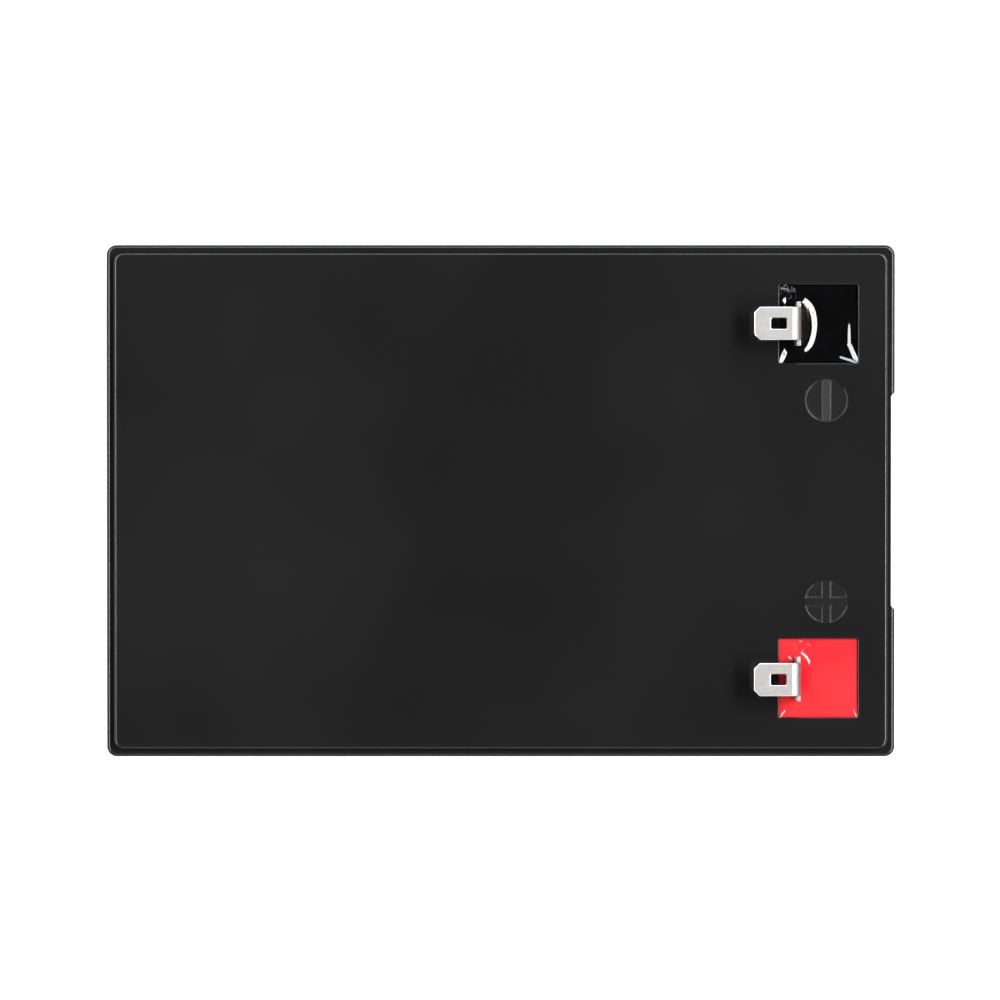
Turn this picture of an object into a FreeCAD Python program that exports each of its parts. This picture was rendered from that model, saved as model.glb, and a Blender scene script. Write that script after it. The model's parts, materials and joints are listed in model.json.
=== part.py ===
import FreeCAD, Part
import math
import os
import Sketcher

# A sealed 12.8 V lithium iron phosphate battery in a black moulded case, with its lid, two blade
# terminals potted in square wells, and the pack of cells, board and leads that it holds.
# All sizes are millimetres. X runs along the case towards the terminals, Y across it towards the
# negative terminal, and Z up from the face that the battery stands on.

doc = FreeCAD.newDocument("battery")

# Driving sizes

SIZES = {
    # case and lid
    "case_corner": 1.9,
    "case_wall": 2.5,
    "case_inner_corner": 1.2,
    "case_floor": 3.0,
    "foot_inset": 7.0,
    "foot_height": 0.8,
    "base_round": 0.8,
    "seam_break": 0.3,
    "tongue_thick": 1.0,
    "tongue_height": 1.5,
    "tongue_play": 0.1,
    "notch_length": 40.2,
    "notch_depth": 0.72,
    "flange_thick": 3.5,
    "flange_round": 0.65,
    "plate_rise": 1.5,
    "plate_inset": 1.45,
    "plate_corner": 1.9,
    "plate_round": 0.55,
    "panel_thick": 2.6,
    "skirt_thick": 1.6,
    "skirt_depth": 4.0,
    "skirt_play": 0.15,
    "lid_rib_thick": 1.5,
    "lid_rib_depth": 3.0,
    "lid_rib_gap": 2.0,
    # wells and polarity marks
    "well_size": 15.0,
    "well_corner": 0.4,
    "well_depth": 9.0,
    "well_wall": 2.0,
    "well_side_gap": 15.1,
    "well_end_gap": 14.7,
    "well_edge_round": 0.25,
    "mark_radius": 4.0,
    "mark_depth": 0.4,
    "mark_bar": 1.6,
    "mark_from_well": 14.65,
    "mark_end_gap": 13.2,
    # terminals and potting
    "blade_width": 6.35,
    "blade_thick": 0.8,
    "blade_reach": 9.0,
    "blade_height": 6.0,
    "blade_bend": 0.7,
    "blade_nose": 1.1,
    "blade_edge": 0.15,
    "blade_shift": 3.6,
    "hole_length": 2.9,
    "hole_width": 1.9,
    "hole_corner": 0.3,
    "hole_from_nose": 4.7,
    "shoulder_width": 8.4,
    "shoulder_drop": 2.2,
    "terminal_foot": 4.5,
    "slot_play": 0.1,
    "seal_drop": 1.0,
    "seal_rim": 0.12,
    "seal_creep": 0.8,
    "seal_collar": 0.9,
    # cells
    "cell_length": 70.5,
    "cell_radius": 16.2,
    "cell_gap": 1.6,
    "sleeve_thick": 0.2,
    "sleeve_lip": 2.8,
    "can_round": 0.6,
    "base_step": 0.3,
    "base_step_inset": 3.2,
    "crimp_drop": 0.7,
    "crimp_width": 1.8,
    "cap_sink": 0.4,
    "button_radius": 7.5,
    "washer_thick": 0.3,
    "washer_width": 5.9,
    "bead_depth": 0.9,
    "bead_width": 2.4,
    "bead_from_top": 6.0,
    # pack
    "holder_height": 9.0,
    "holder_wall": 1.2,
    "holder_play": 0.15,
    "vent_radius": 6.0,
    "wire_notch": 3.4,
    "wire_notch_play": 0.2,
    "band_height": 12.0,
    "band_thick": 0.3,
    "band_play": 0.05,
    "band_from_end": 15.0,
    "strip_thick": 0.3,
    "strip_margin": 10.0,
    "weld_slot": 1.2,
    "weld_slot_length": 9.0,
    "tail_width": 7.0,
    "tail_length": 6.5,
    "tail_shift": 18.0,
    "sense_tail_width": 3.0,
    "sheet_thick": 0.5,
    "sheet_overhang": 0.5,
    "sheet_side_overhang": 3.5,
    "pad_thick": 2.0,
    "foam_play": 0.4,
    "end_foam": 4.05,
    "side_foam": 11.55,
    "headroom": 15.3,
    "top_foam_gap": 3.25,
    "top_foam_inset": 2.5,
    "top_foam_length": 9.0,
    "top_foam_width": 30.0,
    # protection board
    "tape_thick": 1.0,
    "tape_margin": 5.0,
    "board_length": 60.0,
    "board_width": 46.0,
    "board_thick": 1.6,
    "board_end_gap": 22.55,
    "board_corner": 2.0,
    "board_hole_radius": 1.6,
    "board_hole_inset": 3.5,
    "switch_length": 6.1,
    "switch_width": 6.6,
    "switch_height": 2.3,
    "switch_margin": 2.0,
    "switch_edge": 7.0,
    "shunt_length": 3.2,
    "shunt_width": 6.4,
    "shunt_height": 0.6,
    "shunt_pitch": 5.0,
    "shunt_from_switch": 9.5,
    "chip_length": 6.2,
    "chip_width": 5.0,
    "chip_height": 1.6,
    "chip_from_shunt": 12.5,
    "capacitor_length": 3.2,
    "capacitor_width": 1.6,
    "capacitor_height": 1.2,
    "capacitor_pitch": 3.6,
    "header_length": 14.9,
    "header_depth": 7.0,
    "header_height": 5.8,
    "header_wall": 0.8,
    "header_back": 2.2,
    "header_edge": 0.5,
    "plug_play": 0.1,
    "plug_depth": 8.0,
    "wire_pitch": 2.5,
    # leads
    "lead_radius": 1.75,
    "lead_play": 0.05,
    "board_joint": 8.0,
    "wire_radius": 0.65,
    "wire_play": 0.15,
}

sheet = doc.addObject("Spreadsheet::Sheet", "Sizes")
for row, (alias, size) in enumerate(SIZES.items(), start=1):
    sheet.set(f"A{row}", alias)
    sheet.set(f"B{row}", str(size))
    sheet.setAlias(f"B{row}", alias)
doc.recompute()

# Expressions that several pieces share

PITCH = "(2 * Sizes.cell_radius + Sizes.cell_gap)"
HOLDER_LENGTH = f"(3 * {PITCH} + 2 * (Sizes.cell_radius + Sizes.holder_play + Sizes.holder_wall))"
HOLDER_WIDTH = f"({PITCH} + 2 * (Sizes.cell_radius + Sizes.holder_play + Sizes.holder_wall))"
INNER_LENGTH = f"({HOLDER_LENGTH} + 2 * (Sizes.end_foam + Sizes.foam_play))"
INNER_WIDTH = f"({HOLDER_WIDTH} + 2 * (Sizes.side_foam + Sizes.foam_play))"
CASE_LENGTH = f"({INNER_LENGTH} + 2 * Sizes.case_wall)"
CASE_WIDTH = f"({INNER_WIDTH} + 2 * Sizes.case_wall)"

SHEET_LOW = "(Sizes.case_floor + Sizes.pad_thick)"
STRIP_LOW = f"({SHEET_LOW} + Sizes.sheet_thick)"
CELL_LOW = f"({STRIP_LOW} + Sizes.strip_thick)"
CELL_HIGH = f"({CELL_LOW} + Sizes.cell_length)"
SHEET_HIGH = f"({CELL_HIGH} + Sizes.strip_thick)"
DECK = f"({SHEET_HIGH} + Sizes.sheet_thick)"
PANEL_UNDER = f"({DECK} + Sizes.headroom)"
PLATE_TOP = f"({PANEL_UNDER} + Sizes.panel_thick)"
FLANGE_TOP = f"({PLATE_TOP} - Sizes.plate_rise)"
RIM = f"({FLANGE_TOP} - Sizes.flange_thick)"
BOARD_LOW = f"({DECK} + Sizes.tape_thick)"
BOARD_TOP = f"({BOARD_LOW} + Sizes.board_thick)"

WELL_X = f"({CASE_LENGTH} / 2 - Sizes.well_end_gap)"
WELL_Y = f"({CASE_WIDTH} / 2 - Sizes.well_side_gap)"
WELL_FLOOR = f"({PLATE_TOP} - Sizes.well_depth)"
WELL_BACK = f"({WELL_X} - Sizes.well_size / 2 - Sizes.well_wall)"
MARK_X = f"({CASE_LENGTH} / 2 - Sizes.mark_end_gap)"
MARK_Y = f"({WELL_Y} - Sizes.mark_from_well)"
BLADE_X = f"({WELL_X} - Sizes.blade_shift)"
BLADE_TOP = f"({PLATE_TOP} + Sizes.blade_height)"
TERMINAL_FOOT = f"({WELL_FLOOR} - Sizes.well_wall - Sizes.terminal_foot)"
SEAL_FLAT = f"({PLATE_TOP} - Sizes.seal_drop)"

STRIP_WIDTH = f"({PITCH} + 2 * Sizes.strip_margin)"
SENSE_Y = f"({PITCH} / 2 + Sizes.cell_radius - Sizes.wire_radius - Sizes.wire_play)"
SENSE_TIP = f"({PITCH} / 2 + Sizes.cell_radius)"
TAIL_TIP = f"(1.5 * {PITCH} + Sizes.strip_margin + Sizes.tail_length)"

BOARD_BACK = f"(-{HOLDER_LENGTH} / 2 + Sizes.board_end_gap)"
BOARD_FRONT = f"({BOARD_BACK} + Sizes.board_length)"
BOARD_X = f"({BOARD_BACK} + Sizes.board_length / 2)"
SWITCH_Y = "(Sizes.board_width / 2 - Sizes.switch_edge)"
SHUNT_Y = f"({SWITCH_Y} - Sizes.shunt_from_switch)"
CHIP_Y = f"({SHUNT_Y} - Sizes.chip_from_shunt)"
HEADER_FACE = "(-Sizes.board_width / 2 - Sizes.header_edge)"
PLUG_BACK = f"({HEADER_FACE} + Sizes.header_depth - Sizes.header_back)"
PLUG_FACE = f"({PLUG_BACK} - Sizes.plug_depth)"
PLUG_Z = f"({BOARD_TOP} + Sizes.header_height / 2)"
FRONT_RIB = f"({BOARD_FRONT} + Sizes.lid_rib_gap)"
BACK_RIB = f"({BOARD_BACK} - Sizes.lid_rib_gap)"
LEAD_ON_STRIP = f"({SHEET_HIGH} + Sizes.lead_radius + Sizes.lead_play)"
LEAD_ON_BOARD = f"({BOARD_TOP} + Sizes.lead_radius + Sizes.lead_play)"

# Each column of cells, from the far end to the terminals: its name, and whether its buttons are up
COLUMNS = [("1", False), ("2", True), ("3", False), ("4", True)]
ROWS = [("a", 1), ("b", -1)]

# How much of the shorter run beside a corner of a lead its arc takes
BEND_SHARE = 0.45


def number(expression):
    """The present value of an expression on the sheet."""
    return float(sheet.evalExpression(expression))


# Small tools for sketches, features and primitives


def bind(thing, bindings):
    """Ties each property to its expression."""
    for path, expression in bindings.items():
        thing.setExpression(path, expression)
    return thing


def new_body(label):
    """An empty body whose label names its file."""
    body = doc.addObject("PartDesign::Body", label)
    body.Label = label
    return body


def new_sketch(body, name, role="XY_Plane", x="0", y="0", z="0"):
    """A sketch on one of the body's origin planes, moved in that plane's own directions."""
    sketch = body.newObject("Sketcher::SketchObject", f"{body.Label}_{name}")
    plane = next(f for f in body.Origin.OriginFeatures if f.Role == role)
    sketch.AttachmentSupport = (plane, [""])
    sketch.MapMode = "FlatFace"
    for axis, expression in (("x", x), ("y", y), ("z", z)):
        if expression != "0":
            sketch.setExpression(f"AttachmentOffset.Base.{axis}", expression)
    return sketch


def dimension(sketch, kind, *arguments, expression):
    """Adds one dimension to a sketch and ties it to an expression."""
    index = sketch.addConstraint(Sketcher.Constraint(kind, *arguments, number(expression)))
    sketch.setExpression(f"Constraints[{index}]", expression)


def add_rectangle(sketch, length, width, corner=None):
    """A rectangle centred on the sketch's origin, with round corners if a radius is given."""
    x, y = number(length) / 2, number(width) / 2
    r = number(corner) if corner else 0.0
    up = FreeCAD.Vector(0, 0, 1)
    starts = [(-x + r, -y), (x, -y + r), (x - r, y), (-x, y - r)]
    ends = [(x - r, -y), (x, y - r), (-x + r, y), (-x, -y + r)]
    centres = [(x - r, -y + r), (x - r, y - r), (-x + r, y - r), (-x + r, -y + r)]
    lines, arcs = [], []
    for side in range(4):
        start, end = FreeCAD.Vector(*starts[side], 0), FreeCAD.Vector(*ends[side], 0)
        lines.append(sketch.addGeometry(Part.LineSegment(start, end)))
        if corner:
            circle = Part.Circle(FreeCAD.Vector(*centres[side], 0), up, r)
            quarter = math.pi / 2
            arc = Part.ArcOfCircle(circle, (side - 1) * quarter, side * quarter)
            arcs.append(sketch.addGeometry(arc))
    for side in range(4):
        level = "Horizontal" if side % 2 == 0 else "Vertical"
        sketch.addConstraint(Sketcher.Constraint(level, lines[side]))
        after = lines[(side + 1) % 4]
        if corner:
            sketch.addConstraint(Sketcher.Constraint("Tangent", lines[side], 2, arcs[side], 1))
            sketch.addConstraint(Sketcher.Constraint("Tangent", arcs[side], 2, after, 1))
        else:
            sketch.addConstraint(Sketcher.Constraint("Coincident", lines[side], 2, after, 1))
    if corner:
        for arc in arcs[1:]:
            sketch.addConstraint(Sketcher.Constraint("Equal", arcs[0], arc))
        middle = (arcs[0], 3, arcs[2], 3)
        dimension(sketch, "Radius", arcs[0], expression=corner)
    else:
        middle = (lines[0], 1, lines[2], 1)
    sketch.addConstraint(Sketcher.Constraint("Symmetric", *middle, -1, 1))
    dimension(sketch, "DistanceX", lines[3], 1, lines[1], 1, expression=length)
    dimension(sketch, "DistanceY", lines[0], 1, lines[2], 1, expression=width)


def add_circle(sketch, radius, x="0", y="0"):
    """A circle, on the sketch's origin unless a centre is given."""
    centre = FreeCAD.Vector(number(x), number(y), 0)
    up = FreeCAD.Vector(0, 0, 1)
    circle = sketch.addGeometry(Part.Circle(centre, up, number(radius)))
    dimension(sketch, "Radius", circle, expression=radius)
    place_point(sketch, circle, 3, x, y)


def place_point(sketch, geometry, end, x, y):
    """Fixes a point of a sketch at two expressions, or on an axis where one is plain 0."""
    for kind, expression, axis in (("DistanceX", x, -2), ("DistanceY", y, -1)):
        if expression == "0":
            sketch.addConstraint(Sketcher.Constraint("PointOnObject", geometry, end, axis))
        else:
            dimension(sketch, kind, -1, 1, geometry, end, expression=expression)


def add_polygon(sketch, corners):
    """A closed outline of straight sides whose corners are pairs of expressions."""
    points = [FreeCAD.Vector(number(x), number(y), 0) for x, y in corners]
    after = points[1:] + points[:1]
    lines = [sketch.addGeometry(Part.LineSegment(a, b)) for a, b in zip(points, after)]
    for line, following in zip(lines, lines[1:] + lines[:1]):
        sketch.addConstraint(Sketcher.Constraint("Coincident", line, 2, following, 1))
    for line, (x, y) in zip(lines, corners):
        place_point(sketch, line, 1, x, y)


def add_pad(body, sketch, length, down=False, middle=False):
    """Pads a sketch; the length is an expression."""
    pad = body.newObject("PartDesign::Pad", f"{sketch.Name}_pad")
    pad.Profile = sketch
    pad.Reversed = down
    pad.Midplane = middle
    pad.setExpression("Length", length)
    sketch.Visibility = False
    doc.recompute()
    return pad


def add_pocket(body, sketch, length=None, up=False, middle=False):
    """Cuts a sketch out of the body: downwards, or up if asked, or right through."""
    before = body.Shape.Volume
    pocket = body.newObject("PartDesign::Pocket", f"{sketch.Name}_pocket")
    pocket.Profile = sketch
    pocket.Reversed = up
    pocket.Midplane = middle
    if length:
        pocket.setExpression("Length", length)
    else:
        pocket.Type = "ThroughAll"
    doc.recompute()
    if not pocket.Shape.Volume < before:
        raise RuntimeError(f"{pocket.Label} cuts nothing")
    return pocket


def add_revolution(body, sketch):
    """Turns a sketch in the XZ plane once round the vertical axis."""
    revolution = body.newObject("PartDesign::Revolution", f"{sketch.Name}_turned")
    revolution.Profile = sketch
    revolution.ReferenceAxis = (sketch, ["V_Axis"])
    revolution.Angle = 360
    doc.recompute()
    return revolution


def edges_where(shape, test):
    """Names of the edges whose middle point and direction pass the test."""
    names = []
    for index, edge in enumerate(shape.Edges, start=1):
        middle = edge.valueAt((edge.FirstParameter + edge.LastParameter) / 2)
        if test(edge, middle):
            names.append(f"Edge{index}")
    return names


def dress(body, kind, size, test):
    """Rounds or chamfers every edge of the body that passes the test."""
    tip = body.Tip
    names = edges_where(tip.Shape, test)
    if not names:
        raise RuntimeError(f"{body.Label} has no edge for its {kind}")
    feature = body.newObject(f"PartDesign::{kind}", f"{body.Label}_{kind}_{len(body.Group)}")
    feature.Base = (tip, names)
    feature.setExpression("Radius" if kind == "Fillet" else "Size", size)
    doc.recompute()
    return feature


def near(a, b, within=0.01):
    """Whether two lengths are equal to within a hundredth of a millimetre."""
    return abs(a - b) < within


def box(label, length, width, height, x="0", y="0", z="0", corner=None):
    """A block centred on x and y that stands on z, its upright edges rounded if asked."""
    block = doc.addObject("Part::Box", f"{label}_block" if corner else label)
    bind(block, {"Length": length, "Width": width, "Height": height})
    block.setExpression("Placement.Base.x", f"{x} - ({length}) / 2")
    block.setExpression("Placement.Base.y", f"{y} - ({width}) / 2")
    block.setExpression("Placement.Base.z", z)
    doc.recompute()
    if not corner:
        return block
    upright = edges_where(block.Shape, lambda edge, _: near(abs(edge.tangentAt(0).z), 1.0))
    rounded = doc.addObject("Part::Fillet", label)
    rounded.Base = block
    radius = number(corner)
    rounded.Edges = [(int(name[4:]), radius, radius) for name in upright]
    doc.recompute()
    return rounded


def cylinder(label, radius, height, x="0", y="0", z="0"):
    """An upright round bar that stands on z."""
    bar = doc.addObject("Part::Cylinder", label)
    bind(bar, {"Radius": radius, "Height": height})
    bind(bar, {"Placement.Base.x": x, "Placement.Base.y": y, "Placement.Base.z": z})
    doc.recompute()
    return bar


def cut(label, base, tools):
    """One piece with others cut out of it."""
    tool = tools[0]
    if len(tools) > 1:
        tool = doc.addObject("Part::MultiFuse", f"{label}_tools")
        tool.Shapes = tools
    result = doc.addObject("Part::Cut", label)
    result.Base, result.Tool = base, tool
    doc.recompute()
    return result


def join(label, pieces):
    """Several pieces as one, or as a group of separate solids where they don't meet."""
    result = doc.addObject("Part::MultiFuse", label)
    result.Shapes = pieces
    doc.recompute()
    return result


# Case


def make_container():
    """The moulded case: four walls, a floor with a raised foot all round, and the glue tongue."""
    body = new_body("container")
    outer = new_sketch(body, "outline")
    add_rectangle(outer, CASE_LENGTH, CASE_WIDTH, "Sizes.case_corner")
    add_pad(body, outer, RIM)

    def at_height(height):
        return lambda edge, p: near(edge.BoundBox.ZLength, 0) and near(p.z, height)

    dress(body, "Fillet", "Sizes.base_round", at_height(0))
    dress(body, "Chamfer", "Sizes.seam_break", at_height(number(RIM)))
    cavity = new_sketch(body, "cavity", z=RIM)
    add_rectangle(cavity, INNER_LENGTH, INNER_WIDTH, "Sizes.case_inner_corner")
    add_pocket(body, cavity, f"{RIM} - Sizes.case_floor")
    tongue = new_sketch(body, "tongue", z=RIM)
    for side in (1, -1):
        inset = f"(Sizes.case_wall - {side} * Sizes.tongue_thick)"
        corner = f"Sizes.case_corner - {inset} / 2"
        add_rectangle(tongue, f"{CASE_LENGTH} - {inset}", f"{CASE_WIDTH} - {inset}", corner)
    add_pad(body, tongue, "Sizes.tongue_height")
    foot = new_sketch(body, "foot")
    add_rectangle(
        foot,
        f"{CASE_LENGTH} - 2 * Sizes.foot_inset",
        f"{CASE_WIDTH} - 2 * Sizes.foot_inset",
        "Sizes.foot_inset / 2",
    )
    add_pocket(body, foot, "Sizes.foot_height", up=True)
    add_end_notch(body, RIM, "0")
    return body


def add_end_notch(body, height, start):
    """The shallow channel down the end face beside the terminals, with sloping sides."""
    notch = new_sketch(body, "end_notch", z=start)
    inner_x = f"{CASE_LENGTH} / 2 - Sizes.notch_depth"
    outer_x = f"{CASE_LENGTH} / 2 + Sizes.notch_depth"
    inner_y = "Sizes.notch_length / 2"
    outer_y = "Sizes.notch_length / 2 + 2 * Sizes.notch_depth"
    corners = [
        (inner_x, f"-({inner_y})"),
        (outer_x, f"-({outer_y})"),
        (outer_x, outer_y),
        (inner_x, inner_y),
    ]
    add_polygon(notch, corners)
    add_pocket(body, notch, height, up=True)


# Lid


def make_lid():
    """The lid: a flange on the rim, a raised plate, wells for the terminals and two marks."""
    body = new_body("lid")
    add_lid_shell(body)
    add_lid_underside(body)
    add_wells(body)
    add_marks(body)
    return body


def add_lid_shell(body):
    """The flange and the raised plate, with their rounded edges and the end notch."""
    flange = new_sketch(body, "flange", z=RIM)
    add_rectangle(flange, CASE_LENGTH, CASE_WIDTH, "Sizes.case_corner")
    add_pad(body, flange, "Sizes.flange_thick")
    flange_top = number(FLANGE_TOP)
    rim = number(RIM)
    dress(
        body,
        "Fillet",
        "Sizes.flange_round",
        lambda edge, p: near(edge.BoundBox.ZLength, 0) and near(p.z, flange_top),
    )
    dress(
        body,
        "Chamfer",
        "Sizes.seam_break",
        lambda edge, p: near(edge.BoundBox.ZLength, 0) and near(p.z, rim),
    )
    add_end_notch(body, "Sizes.flange_thick", RIM)
    plate = new_sketch(body, "plate", z=FLANGE_TOP)
    add_rectangle(
        plate,
        f"{CASE_LENGTH} - 2 * Sizes.plate_inset",
        f"{CASE_WIDTH} - 2 * Sizes.plate_inset",
        "Sizes.plate_corner",
    )
    add_pad(body, plate, "Sizes.plate_rise")
    plate_top = number(PLATE_TOP)
    dress(
        body,
        "Fillet",
        "Sizes.plate_round",
        lambda edge, p: near(edge.BoundBox.ZLength, 0) and near(p.z, plate_top),
    )


def add_lid_underside(body):
    """The hollow under the panel, the skirt inside the case, the glue groove and two ribs."""
    play = "2 * Sizes.skirt_play"
    hollow = new_sketch(body, "hollow", z=RIM)
    add_rectangle(
        hollow,
        f"{INNER_LENGTH} - {play} - 2 * Sizes.skirt_thick",
        f"{INNER_WIDTH} - {play} - 2 * Sizes.skirt_thick",
        "Sizes.case_inner_corner",
    )
    add_pocket(body, hollow, f"{PANEL_UNDER} - {RIM}", up=True)
    skirt = new_sketch(body, "skirt", z=RIM)
    add_rectangle(
        skirt, f"{INNER_LENGTH} - {play}", f"{INNER_WIDTH} - {play}", "Sizes.case_inner_corner"
    )
    add_rectangle(
        skirt,
        f"{INNER_LENGTH} - {play} - 2 * Sizes.skirt_thick",
        f"{INNER_WIDTH} - {play} - 2 * Sizes.skirt_thick",
        "Sizes.case_inner_corner",
    )
    add_pad(body, skirt, "Sizes.skirt_depth", down=True)
    groove = new_sketch(body, "groove", z=RIM)
    for side in (1, -1):
        inset = f"(Sizes.case_wall - {side} * (Sizes.tongue_thick + 2 * Sizes.tongue_play))"
        corner = f"Sizes.case_corner - {inset} / 2"
        add_rectangle(groove, f"{CASE_LENGTH} - {inset}", f"{CASE_WIDTH} - {inset}", corner)
    add_pocket(body, groove, "Sizes.tongue_height + Sizes.tongue_play", up=True)
    for rib_x, name in ((FRONT_RIB, "front_rib"), (BACK_RIB, "back_rib")):
        rib = new_sketch(body, name, x=rib_x, z=PANEL_UNDER)
        add_rectangle(rib, "Sizes.lid_rib_thick", f"{INNER_WIDTH} - {play}")
        add_pad(body, rib, "Sizes.lid_rib_depth", down=True)


def add_wells(body):
    """Two square wells that hang below the panel, each with a slot for its terminal."""
    outer = "Sizes.well_size + 2 * Sizes.well_wall"
    plate_top = number(PLATE_TOP)
    for side, name in ((1, "negative"), (-1, "positive")):
        y = f"{side} * {WELL_Y}"
        boss = new_sketch(body, f"{name}_boss", x=WELL_X, y=y, z=PANEL_UNDER)
        add_rectangle(boss, outer, outer, "Sizes.well_corner + Sizes.well_wall")
        add_pad(body, boss, f"{PANEL_UNDER} - {WELL_FLOOR} + Sizes.well_wall", down=True)
        well = new_sketch(body, f"{name}_well", x=WELL_X, y=y, z=PLATE_TOP)
        add_rectangle(well, "Sizes.well_size", "Sizes.well_size", "Sizes.well_corner")
        add_pocket(body, well, "Sizes.well_depth")
        slot = new_sketch(
            body, f"{name}_slot", x=f"{BLADE_X} - Sizes.blade_thick / 2", y=y, z=WELL_FLOOR
        )
        add_rectangle(
            slot,
            "Sizes.blade_thick + 2 * Sizes.slot_play",
            "Sizes.shoulder_width + 2 * Sizes.slot_play",
        )
        add_pocket(body, slot, "Sizes.well_wall")
    reach = number("Sizes.well_size") / 2 + 0.01
    centre_x, centre_y = number(WELL_X), number(WELL_Y)

    def on_well_edge(edge, p):
        beside = abs(p.x - centre_x) < reach and abs(abs(p.y) - centre_y) < reach
        return beside and near(edge.BoundBox.ZLength, 0) and near(p.z, plate_top)

    dress(body, "Fillet", "Sizes.well_edge_round", on_well_edge)


def add_marks(body):
    """A sunk disc beside each well with a bar, or a cross of bars, left standing in it."""
    floor = f"{PLATE_TOP} - Sizes.mark_depth"
    for side, name, bars in ((1, "minus", ["across"]), (-1, "plus", ["across", "along"])):
        y = f"{side} * {MARK_Y}"
        disc = new_sketch(body, f"{name}_disc", x=MARK_X, y=y, z=PLATE_TOP)
        add_circle(disc, "Sizes.mark_radius")
        add_pocket(body, disc, "Sizes.mark_depth")
        for bar in bars:
            raised = new_sketch(body, f"{name}_{bar}", x=MARK_X, y=y, z=floor)
            length, width = "Sizes.mark_bar", "2 * Sizes.mark_radius"
            if bar == "along":
                length, width = width, length
            add_rectangle(raised, length, width)
            add_pad(body, raised, "Sizes.mark_depth")


# Terminals and potting


def make_terminal(label, side):
    """A tinned blade: an upright strip with shoulders, bent over flat towards the case's middle."""
    body = new_body(label)
    y = f"{side} * {WELL_Y}"
    bend_outer = "(Sizes.blade_bend + Sizes.blade_thick)"
    strip_width = "Sizes.shoulder_width"
    shoulder_top = f"({BLADE_TOP} - Sizes.shoulder_drop)"
    strip = new_sketch(body, "strip", x=f"{BLADE_X} - Sizes.blade_thick / 2", y=y, z=shoulder_top)
    add_rectangle(strip, "Sizes.blade_thick", strip_width)
    add_pad(body, strip, f"{shoulder_top} - {TERMINAL_FOOT}", down=True)
    neck = new_sketch(body, "neck", x=f"{BLADE_X} - Sizes.blade_thick / 2", y=y, z=shoulder_top)
    add_rectangle(neck, "Sizes.blade_thick", "Sizes.blade_width")
    add_pad(body, neck, f"{BLADE_TOP} - {shoulder_top}")
    blade = new_sketch(body, "blade", x=f"{BLADE_X} - Sizes.blade_reach / 2", y=y, z=BLADE_TOP)
    add_rectangle(blade, "Sizes.blade_reach", "Sizes.blade_width")
    add_pad(body, blade, "Sizes.blade_thick", down=True)
    face_x, top = number(BLADE_X), number(BLADE_TOP)
    thick = number("Sizes.blade_thick")

    def along_y(edge, p):
        return near(edge.BoundBox.XLength, 0) and near(edge.BoundBox.ZLength, 0)

    dress(
        body,
        "Fillet",
        bend_outer,
        lambda edge, p: along_y(edge, p) and near(p.x, face_x) and near(p.z, top),
    )
    dress(
        body,
        "Fillet",
        "Sizes.blade_bend",
        lambda edge, p: along_y(edge, p)
        and near(p.x, face_x - thick)
        and near(p.z, top - thick),
    )
    nose_x = face_x - number("Sizes.blade_reach")
    dress(
        body,
        "Chamfer",
        "Sizes.blade_nose",
        lambda edge, p: near(p.x, nose_x) and near(edge.BoundBox.YLength, 0),
    )
    add_blade_edges(body, face_x, top, thick)
    hole_x = f"{BLADE_X} - Sizes.blade_reach + Sizes.hole_from_nose"
    hole = new_sketch(body, "hole", x=hole_x, y=y, z=BLADE_TOP)
    add_rectangle(hole, "Sizes.hole_length", "Sizes.hole_width", "Sizes.hole_corner")
    add_pocket(body, hole, "Sizes.blade_thick")
    return body


def add_blade_edges(body, face_x, top, thick):
    """Bevels the blade's long edges and its nose, as a coined blade has."""
    bend = number("Sizes.blade_bend") + thick

    def on_rim(edge, p):
        level = near(edge.BoundBox.ZLength, 0) and near(p.z, top)
        under = near(edge.BoundBox.ZLength, 0) and near(p.z, top - thick)
        return (level or under) and p.x < face_x - bend - 0.01

    dress(body, "Chamfer", "Sizes.blade_edge", on_rim)


def make_seal(label, side):
    """The resin that fills a well: flat, and drawn up a little at the walls and the terminal."""
    body = new_body(label)
    y = f"{side} * {WELL_Y}"
    fill = new_sketch(body, "fill", x=WELL_X, y=y, z=WELL_FLOOR)
    add_rectangle(fill, "Sizes.well_size", "Sizes.well_size", "Sizes.well_corner")
    rim = "Sizes.seal_drop - Sizes.seal_rim"
    add_pad(body, fill, f"Sizes.well_depth - Sizes.seal_drop + {rim}")
    dish = new_sketch(body, "dish", x=WELL_X, y=y, z=f"{SEAL_FLAT} + {rim}")
    dish_size = "Sizes.well_size - 2 * Sizes.seal_rim"
    add_rectangle(dish, dish_size, dish_size, "Sizes.seal_creep + Sizes.seal_rim")
    add_seal_collar(dish)
    add_pocket(body, dish, rim)
    flat = number(SEAL_FLAT)
    dress(
        body,
        "Fillet",
        "Sizes.seal_creep",
        lambda edge, p: near(edge.BoundBox.ZLength, 0) and near(p.z, flat),
    )
    slot = new_sketch(
        body, "slot", x=f"{BLADE_X} - Sizes.blade_thick / 2", y=y, z=f"{SEAL_FLAT} + {rim}"
    )
    add_rectangle(slot, "Sizes.blade_thick", "Sizes.shoulder_width")
    add_pocket(body, slot)
    return body


def add_seal_collar(sketch):
    """The island that stays round the terminal inside the dish."""
    half_x = "(Sizes.blade_thick / 2 + Sizes.seal_collar)"
    half_y = "(Sizes.shoulder_width / 2 + Sizes.seal_collar)"
    middle = "(-Sizes.blade_shift - Sizes.blade_thick / 2)"
    corners = [
        (f"{middle} - {half_x}", f"-{half_y}"),
        (f"{middle} + {half_x}", f"-{half_y}"),
        (f"{middle} + {half_x}", half_y),
        (f"{middle} - {half_x}", half_y),
    ]
    add_polygon(sketch, corners)


# Cells


def column_x(index):
    """The place along the case of one column of cells."""
    return f"({index - 1.5} * {PITCH})"


def row_y(side):
    """The place across the case of one row of cells."""
    return f"({side} * {PITCH} / 2)"


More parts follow.
